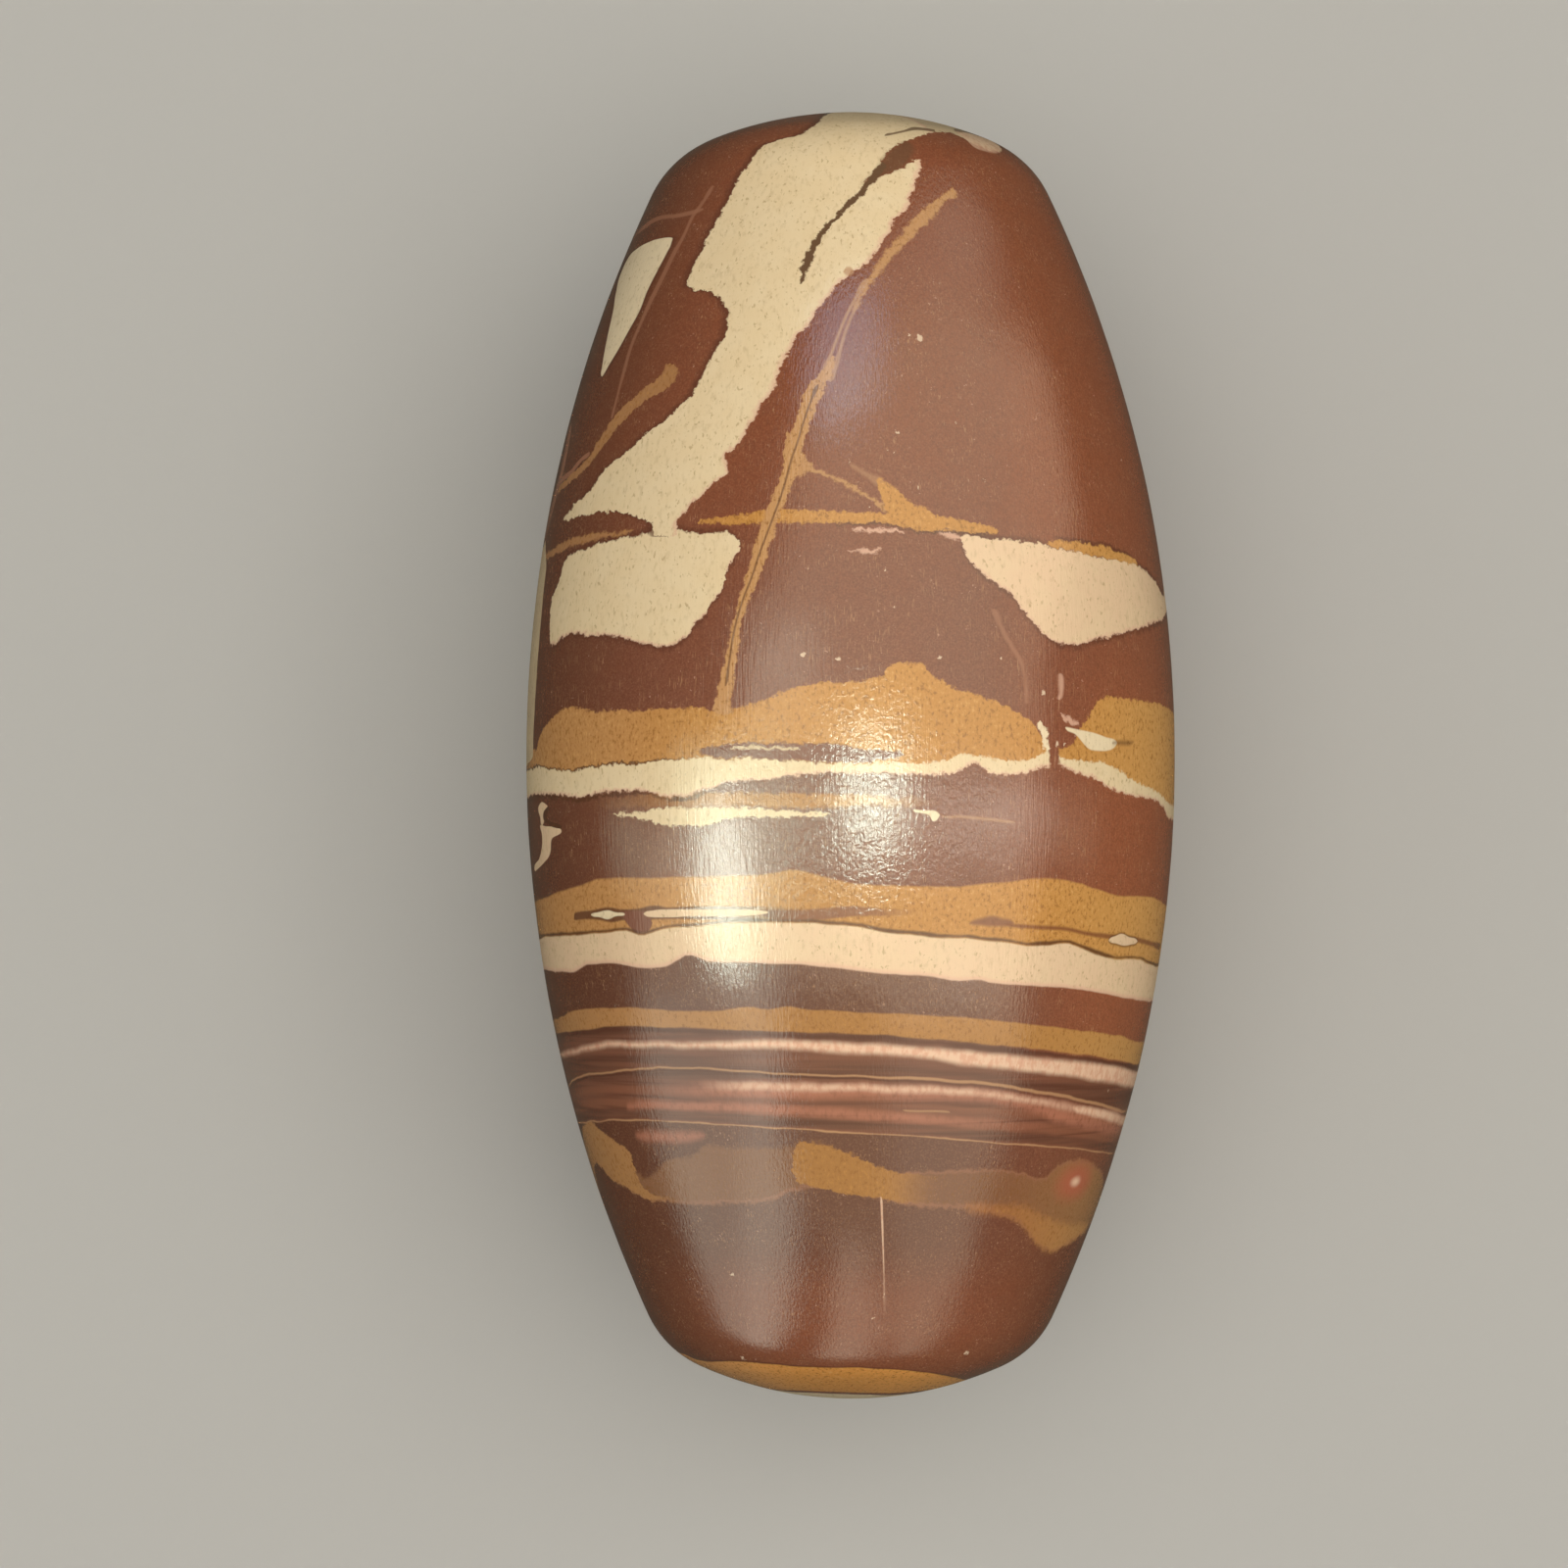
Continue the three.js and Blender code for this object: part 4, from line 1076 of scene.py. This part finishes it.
def layMark(tree, mark, fields, paints, below):
    lengthwise, edges = edgesOf(mark)
    kind = "straight" if mark.get("straight") else "rough" if mark.get("rough") else "smooth"
    around, along = fields[kind + "Around"], fields[kind + "Along"]
    run, value = (along, around) if lengthwise else (around, along)
    millimetres = fields["girth"] if lengthwise else halfOutline * 2000
    low = curveThrough(tree, mark["name"] + " low edge", edges[0], run)
    high = curveThrough(tree, mark["name"] + " high edge", edges[1], run)
    strength = mark.get("strength", 1)
    for full, gone in mark.get("fade", []):
        first, last = (fromPixel(pixel)[1 if lengthwise else 0] for pixel in (gone, full))
        strength = calc(tree, "MULTIPLY", ease(tree, run, first, last), strength)
    band = place(tree, betweenEdges, Value=value, Low_Edge=low, High_Edge=high, Millimetres=millimetres,
                 Soft=mark["soft"], Strength=strength)
    sides = {"left": ("From Low", "From High"), "bottom": ("From Low", "From High"),
             "right": ("From High", "From Low"), "top": ("From High", "From Low")}
    if "halo" in mark:
        wanted = mark.get("haloSide", "both")
        if wanted == "both":
            depth = calc(tree, "MINIMUM", band["From Low"], band["From High"])
            share = ease(tree, depth, -mark["halo"], 0.0, 0.0, 0.7)
        else:
            this, other = sides[wanted]
            share = calc(tree, "MULTIPLY", ease(tree, band[this], -mark["halo"], 0.0, 0.0, 0.8),
                         ease(tree, band[other], 0.0, 0.2))
        below = blendColour(tree, share, below, jasper[mark.get("haloPaint", "bodyDark")])
    colour = paints[mark["paint"]]
    if "rim" in mark:
        this, other = sides[mark.get("rimSide", "bottom")]
        share = ease(tree, band[this], mark["rim"], 0.0, 0.0, 0.75)
        colour = blendColour(tree, share, colour, jasper["pinkRim"])
    result = blendColour(tree, band["Mask"], below, colour)
    for line in mark.get("lines", []):
        centre = high if line["edge"] == "top" else low
        strength = 0.9
        if not mark.get("ring"):
            ends = edges[0][1][0], edges[0][-2][0]
            strength = calc(tree, "MULTIPLY", ease(tree, run, ends[0], ends[0] + 0.01),
                            ease(tree, run, ends[1], ends[1] - 0.01, 0.0, strength))
        if "until" in line:
            limit = fromPixel((line["until"], photo["stoneMiddle"][1]))[0]
            strength = calc(tree, "MULTIPLY", strength, ease(tree, run, limit, limit - 0.03))
        if "from" in line:
            limit = fromPixel((line["from"], photo["stoneMiddle"][1]))[0]
            strength = calc(tree, "MULTIPLY", strength, ease(tree, run, limit, limit + 0.02))
        if line.get("shift"):
            centre = calc(tree, "ADD", centre, line["shift"] / (halfOutline * 2000))
        drawn = place(tree, thinLine, Value=value, Centre=centre, Millimetres=millimetres,
                      Wobble=fields["smoothWobble"], Width=line["width"], Soft=line["soft"],
                      Strength=strength)
        result = blendColour(tree, drawn["Mask"], result, jasper[line["paint"]])
    return result


# The fine layers between the third ochre band and the lower thin line.
def layLaminated(tree, fields, paints, below):
    edges = edgesOf({"ring": True, "top": laminated["top"], "bottom": laminated["bottom"]})[1]
    low = curveThrough(tree, "laminated bottom", edges[0], fields["smoothAround"])
    high = curveThrough(tree, "laminated top", edges[1], fields["smoothAround"])
    share = calc(tree, "DIVIDE", calc(tree, "SUBTRACT", fields["smoothAlong"], low),
                 calc(tree, "SUBTRACT", high, low))
    ramp = tree.nodes.new("ShaderNodeValToRGB")
    ramp.color_ramp.interpolation = "EASE"
    stops = ramp.color_ramp.elements
    while len(stops) < len(laminated["stops"]):
        stops.new(0.5)
    for stop, (position, name) in zip(stops, laminated["stops"]):
        stop.position = position
        stop.color = jasper[name]
    feed(tree, share, ramp.inputs["Fac"])
    fine = blotches(tree, fields["spot"], 1.0, 2.0, 0.6, 0.3, (0.07, 1.9, 0.07)).outputs["Fac"]
    colour = blendColour(tree, ease(tree, fine, 0.45, 0.68, 0.0, 0.5), ramp.outputs["Color"], jasper["salmon"])
    colour = blendColour(tree, ease(tree, fine, 0.5, 0.32, 0.0, 0.6), colour, jasper["bodyDark"])
    inside = place(tree, betweenEdges, Value=fields["smoothAlong"], Low_Edge=low, High_Edge=high,
                   Millimetres=halfOutline * 2000, Soft=0.3)
    result = blendColour(tree, inside["Mask"], below, colour)
    thickness = calc(tree, "SUBTRACT", high, low)
    for share, paintName, width in laminated["lines"]:
        drawn = place(tree, thinLine, Value=fields["smoothAlong"],
                      Centre=calc(tree, "MULTIPLY_ADD", thickness, share, low),
                      Millimetres=halfOutline * 2000, Wobble=fields["smoothWobble"], Width=width, Soft=0.15)
        result = blendColour(tree, drawn["Mask"], result, jasper[paintName])
    return result


# The pale chips and flecks, as one mask: how far the place is from the nearest of them.
def fleckMask(tree, fields, zone):
    nearest = None
    for pixel, wide, tall in flecks:
        if not overlaps([fromPixel(pixel)[1]], zone):
            continue
        middle = onStone(pixel) * 1000
        shrink = Vector((2 / wide, 2 / tall, 2 / wide))
        node = tree.nodes.new("ShaderNodeVectorMath")
        node.operation = "MULTIPLY_ADD"
        for socket, value in zip(node.inputs, (fields["brokenSpot"], tuple(shrink), tuple(-middle * shrink))):
            feed(tree, value, socket)
        reach = vectorCalc(tree, "LENGTH", node.outputs["Vector"], (0, 0, 0))
        nearest = reach if nearest is None else calc(tree, "MINIMUM", nearest, reach)
    return 0.0 if nearest is None else ease(tree, nearest, 1.14, 0.7, 0.0, 0.75)


def redSpot(tree, fields, below):
    around, along = fromPixel((1098, 1206))
    across = calc(tree, "MULTIPLY", calc(tree, "SUBTRACT", fields["smoothAround"], around), fields["girth"])
    across = calc(tree, "MULTIPLY", across, 0.6)
    upward = calc(tree, "MULTIPLY", calc(tree, "SUBTRACT", fields["smoothAlong"], along), halfOutline * 2000)
    reach = calc(tree, "SQRT", calc(tree, "ADD", calc(tree, "MULTIPLY", across, across),
                                    calc(tree, "MULTIPLY", upward, upward)))
    below = blendColour(tree, ease(tree, reach, 2.2, 0.5, 0.0, 0.85), below, jasper["redSpot"])
    return blendColour(tree, ease(tree, reach, 0.65, 0.05, 0.0, 0.9), below, jasper["pinkPale"])


# Height of the fine relief in millimetres: grinding streaks along the stone, the dimpled polish
# on the belly, and long shallow waves.
def fineRelief(tree, fields):
    spot = fields["spot"]
    streaks = blotches(tree, spot, 1.0, 2.0, 0.6, 0.0, inverse(grain["streakSize"])).outputs["Fac"]
    peel = blotches(tree, spot, 1 / grain["peelSize"], 2.5, 0.55, 0.8).outputs["Fac"]
    waves = blotches(tree, spot, 1 / grain["waveSize"], 1.0).outputs["Fac"]
    middle = onStone(grain["peelMiddle"]) * 1000
    away = vectorCalc(tree, "LENGTH", vectorCalc(tree, "SUBTRACT", spot, tuple(middle)), (0, 0, 0))
    strongest = ease(tree, away, grain["peelReach"][1], grain["peelReach"][0], 0.1, 1.0)
    height = calc(tree, "MULTIPLY", streaks, grain["streakHeight"])
    peelHeight = calc(tree, "MULTIPLY", strongest, grain["peelHeight"])
    height = calc(tree, "MULTIPLY_ADD", peel, peelHeight, height)
    return calc(tree, "MULTIPLY_ADD", waves, grain["waveHeight"], height), streaks


# The stone's rows are shared between four materials with one finish. Each holds only the marks
# that come near its rows, which halves the time a render takes.
zones = {"lowerEnd": (0.0, 0.3), "bands": (0.3, 0.48), "belly": (0.48, 0.65), "upperEnd": (0.65, 1.0)}
zoneMargin = 0.035      # how far a mark's soft edge, halo and shift may carry it


def overlaps(along, zone):
    return min(along) < zone[1] + zoneMargin and max(along) > zone[0] - zoneMargin


def comesNear(mark, zone):
    lengthwise, edges = edgesOf(mark)
    along = [point[0 if lengthwise else 1] for edge in edges for point in edge]
    if lengthwise and mark.get("ends") not in ("both", "start"):
        along.append(0)
    if lengthwise and mark.get("ends") not in ("both", "end"):
        along.append(1)
    return overlaps(along, zone)


def polishedJasper(title, zone):
    material = bpy.data.materials.new("polishedJasper" + title[0].upper() + title[1:])
    material.use_nodes = True
    tree = material.node_tree
    tree.nodes.clear()
    fields = placeFields(tree)
    relief, streaks = fineRelief(tree, fields)
    bump = tree.nodes.new("ShaderNodeBump")
    bump.inputs["Distance"].default_value = 0.001
    feed(tree, relief, bump.inputs["Height"])
    paints = variedPaints(tree, fields)
    colour = paints["body"]
    for mark in lowerMarks:
        if comesNear(mark, zone):
            colour = layMark(tree, mark, fields, paints, colour)
    if comesNear(laminated, zone):
        colour = redSpot(tree, fields, colour)
        colour = layLaminated(tree, fields, paints, colour)
    for mark in bandMarks + patchMarks + upperMarks + backMarks:
        if comesNear(mark, zone):
            colour = layMark(tree, mark, fields, paints, colour)
    colour = blendColour(tree, fleckMask(tree, fields, zone), colour, jasper["fleck"])
    bright = tree.nodes.new("ShaderNodeRGBToBW")
    feed(tree, colour, bright.inputs[0])
    roughness = ease(tree, bright.outputs[0], 0.1, 0.6, 0.12, 0.22)
    roughness = calc(tree, "MULTIPLY_ADD", calc(tree, "SUBTRACT", streaks, 0.5), 0.1, roughness)
    shader = tree.nodes.new("ShaderNodeBsdfPrincipled")
    shader.inputs["IOR"].default_value = 1.54
    feed(tree, colour, shader.inputs["Base Color"])
    feed(tree, roughness, shader.inputs["Roughness"])
    feed(tree, bump.outputs["Normal"], shader.inputs["Normal"])
    output = tree.nodes.new("ShaderNodeOutputMaterial")
    feed(tree, shader.outputs["BSDF"], output.inputs["Surface"])
    return material


rowEnds = [(row + 1) / stone["rowsAlong"] for row in range(stone["rowsAlong"])]
zoneOfRow = np.zeros(stone["rowsAlong"], np.int32)
for title, zone in zones.items():
    zoneOfRow += np.array(rowEnds) > zone[1] + 1e-6
    piece.data.materials.append(polishedJasper(title, zone))
piece.data.polygons.foreach_set("material_index", np.repeat(zoneOfRow, stone["stepsRound"]))
print("jasper:", [len(made.node_tree.nodes) for made in piece.data.materials], "nodes")

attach(piece, "root")
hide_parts(stone["node"])


# The stone is lit and mirrored by a floor that is darker than the one in sight.
floor = {"side": 1.6, "colour": paint(178, 177, 175), "mirrored": paint(68, 65, 59), "roughness": 0.9}


def makeFloor():
    half = floor["side"] / 2
    mesh = bpy.data.meshes.new("paleFloor")
    mesh.from_pydata([(-half, -half, 0), (half, -half, 0), (half, half, 0), (-half, half, 0)], [], [(0, 1, 2, 3)])
    material = bpy.data.materials.new("paleFloor")
    material.use_nodes = True
    tree = material.node_tree
    shader = tree.nodes["Principled BSDF"]
    path = tree.nodes.new("ShaderNodeLightPath")
    inSight = path.outputs["Is Camera Ray"]
    feed(tree, blendColour(tree, inSight, floor["mirrored"], floor["colour"]), shader.inputs["Base Color"])
    shader.inputs["Roughness"].default_value = floor["roughness"]
    mesh.materials.append(material)
    sheet = bpy.data.objects.new("paleFloor", mesh)
    bpy.context.scene.collection.objects.link(sheet)


# Sheets of light that show in the polish, each within an outline of photo pixels. Bright is how
# bright the sheet looks, and where sheets overlap they add up. Soft is the width of the fading
# border in pixels, made of nested sheets.
glows = [
    {"name": "windowCore", "bright": 12.5, "tint": (0.92, 1.0, 0.86), "soft": 10, "sheets": 2,
     "outline": [(716, 812), (744, 808), (760, 850), (768, 905), (761, 950), (757, 1000), (744, 1004),
                 (724, 960), (714, 900)]},
    {"name": "windowHalo", "bright": 3.9, "tint": (0.72, 1.0, 0.82), "soft": 20, "sheets": 2,
     "outline": [(690, 758), (800, 758), (810, 840), (806, 900), (782, 990), (742, 996), (716, 975),
                 (700, 860)]},
    {"name": "windowSide", "bright": 1.7, "tint": (0.9, 1.0, 0.75), "soft": 30, "sheets": 2,
     "outline": [(582, 826), (700, 824), (700, 890), (597, 894)]},
    {"name": "lampCore", "bright": 17.5, "tint": (0.88, 1.0, 0.84), "soft": 8, "sheets": 1,
     "outline": [(866, 765), (916, 765), (920, 830), (903, 872), (870, 866), (863, 810)]},
    {"name": "lampHalo", "bright": 4.0, "tint": (0.68, 1.0, 0.85), "soft": 24, "sheets": 2,
     "outline": [(852, 738), (928, 742), (934, 860), (900, 884), (842, 876)]},
    {"name": "betweenLamps", "bright": 2.2, "tint": (0.65, 1.0, 0.8), "soft": 20, "sheets": 1,
     "outline": [(790, 790), (850, 800), (850, 900), (790, 905)]},
    {"name": "sheen", "bright": 3.4, "tint": (1.0, 0.9, 0.78), "soft": 50, "sheets": 2,
     "outline": [(925, 800), (1040, 806), (1072, 832), (1045, 868), (925, 880)]},
    {"name": "farSheen", "bright": 1.0, "tint": (1.0, 0.78, 0.52), "soft": 40, "sheets": 2,
     "outline": [(1070, 815), (1178, 822), (1176, 882), (1070, 880)]},
    {"name": "glint", "bright": 3, "tint": (1.0, 1.0, 1.0), "soft": 8, "sheets": 1,
     "outline": [(968, 976), (992, 976), (990, 997), (970, 997)]},
    {"name": "lowSheen", "bright": 1.5, "tint": (1.0, 0.75, 0.5), "soft": 24, "sheets": 1,
     "outline": [(835, 982), (1035, 986), (1035, 1024), (835, 1020)]},
    {"name": "sky", "bright": 3.0, "tint": (0.55, 0.76, 1.0), "soft": 20, "sheets": 2,
     "outline": [(830, 330), (852, 292), (892, 292), (897, 340), (886, 400), (870, 432), (836, 442), (822, 400)]},
    {"name": "room", "bright": 2.1, "tint": (1.0, 0.92, 0.7), "soft": 50, "sheets": 3,
     "outline": [(748, 760), (752, 690), (775, 620), (800, 540), (815, 450), (840, 380), (900, 330), (960, 300),
                 (1005, 310), (1028, 350), (1035, 420), (1035, 480), (1035, 560), (1032, 640), (1030, 700),
                 (1032, 780), (1035, 860), (1036, 930), (1035, 1000), (650, 1000), (655, 900), (690, 800)]},
    {"name": "roomRight", "bright": 2.1, "tint": (1.0, 0.72, 0.5), "soft": 50, "sheets": 3,
     "outline": [(1028, 345), (1060, 350), (1092, 420), (1106, 480), (1094, 560), (1072, 640), (1062, 700),
                 (1062, 780), (1064, 850), (1052, 930), (1046, 990), (1035, 995), (1032, 700), (1035, 480)]},
    {"name": "roomHigh", "bright": 1.4, "tint": (1.0, 0.92, 0.75), "soft": 40, "sheets": 2,
     "outline": [(866, 300), (872, 270), (905, 235), (950, 200), (985, 195), (1008, 235), (1020, 300),
                 (960, 296), (900, 318)]},
    {"name": "roomLeft", "bright": 1.8, "tint": (0.9, 1.0, 0.85), "soft": 40, "sheets": 2,
     "outline": [(765, 640), (830, 640), (840, 735), (750, 735)]},
    {"name": "leftStrip", "bright": 1.1, "tint": (1.0, 1.0, 0.85), "soft": 12, "sheets": 1,
     "outline": [(755, 1000), (795, 1000), (795, 1170), (806, 1230), (800, 1300), (786, 1370), (765, 1380),
                 (757, 1300), (755, 1150)]},
    {"name": "leftVeil", "bright": 2.0, "tint": (0.96, 1.0, 0.84), "soft": 14, "sheets": 2,
     "outline": [(652, 1014), (656, 1060), (664, 1140), (682, 1200), (696, 1270), (710, 1330), (732, 1372),
                 (762, 1384), (790, 1380), (808, 1350), (818, 1290), (822, 1230), (805, 1170), (800, 1080),
                 (800, 985)]},
    {"name": "middleHaze", "bright": 0.8, "tint": (1.0, 0.95, 0.65), "soft": 14, "sheets": 1,
     "outline": [(806, 990), (908, 990), (906, 1100), (905, 1262), (850, 1262), (826, 1240), (812, 1170)]},
    {"name": "middleVeil", "bright": 2.2, "tint": (1.0, 0.9, 0.7), "soft": 14, "sheets": 2,
     "outline": [(850, 1262), (888, 1262), (895, 1310), (900, 1360), (882, 1388), (838, 1388), (848, 1330)]},
    {"name": "rightVeil", "bright": 1.65, "tint": (1.0, 0.92, 0.7), "soft": 30, "sheets": 2,
     "outline": [(905, 990), (1045, 990), (1048, 1050), (1030, 1140), (1008, 1200), (994, 1260), (980, 1320),
                 (956, 1360), (930, 1390), (908, 1390), (906, 1330), (908, 1200), (905, 1080)]},
]
glowStep = 20       # pixels between the corners of a sheet
glowDistance = 0.8

# The light that falls on the stone: seen from it as degrees from the photo's right and up.
washes = [
    {"name": "keyWash", "azimuth": 0, "elevation": 85, "wide": 70, "tall": 70, "bright": 1.79,
     "tint": (1.0, 0.965, 0.88)},
    {"name": "rightWash", "azimuth": 0, "elevation": 30, "wide": 80, "tall": 60, "bright": 0.73,
     "tint": (1.0, 0.96, 0.87)},
    {"name": "leftWash", "azimuth": 180, "elevation": 30, "wide": 80, "tall": 60, "bright": 0.58,
     "tint": (1.0, 0.98, 0.93)},
]
washDistance = 1.2


def outwardAt(point):
    radius, way = outlineOver(point.y)
    turn = math.atan2(point.x, (point.z - axisHeight) / flattening)
    slope = outlineAt(way)[2]
    around = Vector((math.sin(turn), 0, math.cos(turn) / flattening))
    return (around * math.cos(slope) + Vector((0, math.sin(slope), 0))).normalized()


# The way that a sight line takes off the polish at a pixel, and where it leaves the stone.
def mirrored(pixel):
    point = onStone(pixel)
    sight = rayThrough(pixel)
    normal = outwardAt(point)
    return point, (sight - normal * 2 * sight.dot(normal)).normalized()


# A sheet whose corners lie where the polish mirrors the pixels of the outline and inside it.
def makeSheet(outline, glow):
    border = []
    for first, last in zip(outline, outline[1:] + outline[:1]):
        steps = max(1, round((last - first).length / glowStep))
        border += [first.lerp(last, step / steps) for step in range(steps)]
    across = [round(corner.x) for corner in outline]
    along = [round(corner.y) for corner in outline]
    inside = [Vector((x, y)) for x in range(min(across), max(across), glowStep)
              for y in range(min(along), max(along), glowStep)]
    pixels, _, faces, *_ = delaunay_2d_cdt(border + inside, [], [range(len(border))], 1, 1)
    corners = {}
    for pixel in {corner for face in faces for corner in face}:
        point, outward = mirrored(pixels[pixel])
        corners[pixel] = point + outward * glowDistance
    order = {pixel: place for place, pixel in enumerate(corners)}
    mesh = bpy.data.meshes.new(glow["name"])
    mesh.from_pydata(list(corners.values()), [], [[order[pixel] for pixel in face] for face in faces])
    material = bpy.data.materials.new(glow["name"])
    material.use_nodes = True
    tree = material.node_tree
    tree.nodes.clear()
    light = tree.nodes.new("ShaderNodeEmission")
    light.inputs["Color"].default_value = (*glow["tint"], 1)
    light.inputs["Strength"].default_value = glow["bright"] / glow["sheets"]
    both = tree.nodes.new("ShaderNodeAddShader")
    feed(tree, light.outputs["Emission"], both.inputs[0])
    feed(tree, tree.nodes.new("ShaderNodeBsdfTransparent").outputs["BSDF"], both.inputs[1])
    output = tree.nodes.new("ShaderNodeOutputMaterial")
    feed(tree, both.outputs["Shader"], output.inputs["Surface"])
    material.cycles.emission_sampling = "NONE"      # only rays off the polish look for it
    mesh.materials.append(material)
    sheet = bpy.data.objects.new(glow["name"], mesh)
    sheet.visible_camera = False
    sheet.visible_diffuse = False
    sheet.visible_shadow = False
    bpy.context.scene.collection.objects.link(sheet)


def makeGlow(glow):
    outline = [Vector(pixel) for pixel in glow["outline"]]
    middle = sum(outline, Vector((0, 0))) / len(outline)
    for sheet in range(glow["sheets"]):
        grown = glow["soft"] * ((sheet + 0.5) / glow["sheets"] - 0.5)
        makeSheet([corner + (corner - middle).normalized() * grown for corner in outline], glow)


def makeWash(wash):
    turn, rise = math.radians(wash["azimuth"]), math.radians(wash["elevation"])
    outward = Vector((math.cos(turn) * math.cos(rise), math.sin(turn) * math.cos(rise), math.sin(rise)))
    data = bpy.data.lights.new(wash["name"], "AREA")
    data.shape = "RECTANGLE"
    data.size = 2 * washDistance * math.tan(math.radians(wash["wide"]) / 2)
    data.size_y = 2 * washDistance * math.tan(math.radians(wash["tall"]) / 2)
    data.energy = wash["bright"] * math.pi * data.size * data.size_y
    data.color = wash["tint"]
    lamp = bpy.data.objects.new(wash["name"], data)
    lamp.location = Vector((0, 0, axisHeight)) + outward * washDistance
    lamp.rotation_euler = outward.to_track_quat("Z", "Y").to_euler()
    lamp.visible_camera = False
    lamp.visible_glossy = False
    bpy.context.scene.collection.objects.link(lamp)


makeFloor()
for glow in glows:
    makeGlow(glow)
for wash in washes:
    makeWash(wash)

world = bpy.data.worlds.new("softRoom")
world.use_nodes = True
world.node_tree.nodes["Background"].inputs["Color"].default_value = (1.0, 0.95, 0.88, 1)
world.node_tree.nodes["Background"].inputs["Strength"].default_value = 0.14
bpy.context.scene.world = world
bpy.context.scene.view_settings.view_transform = "Standard"
print("light and floor set")
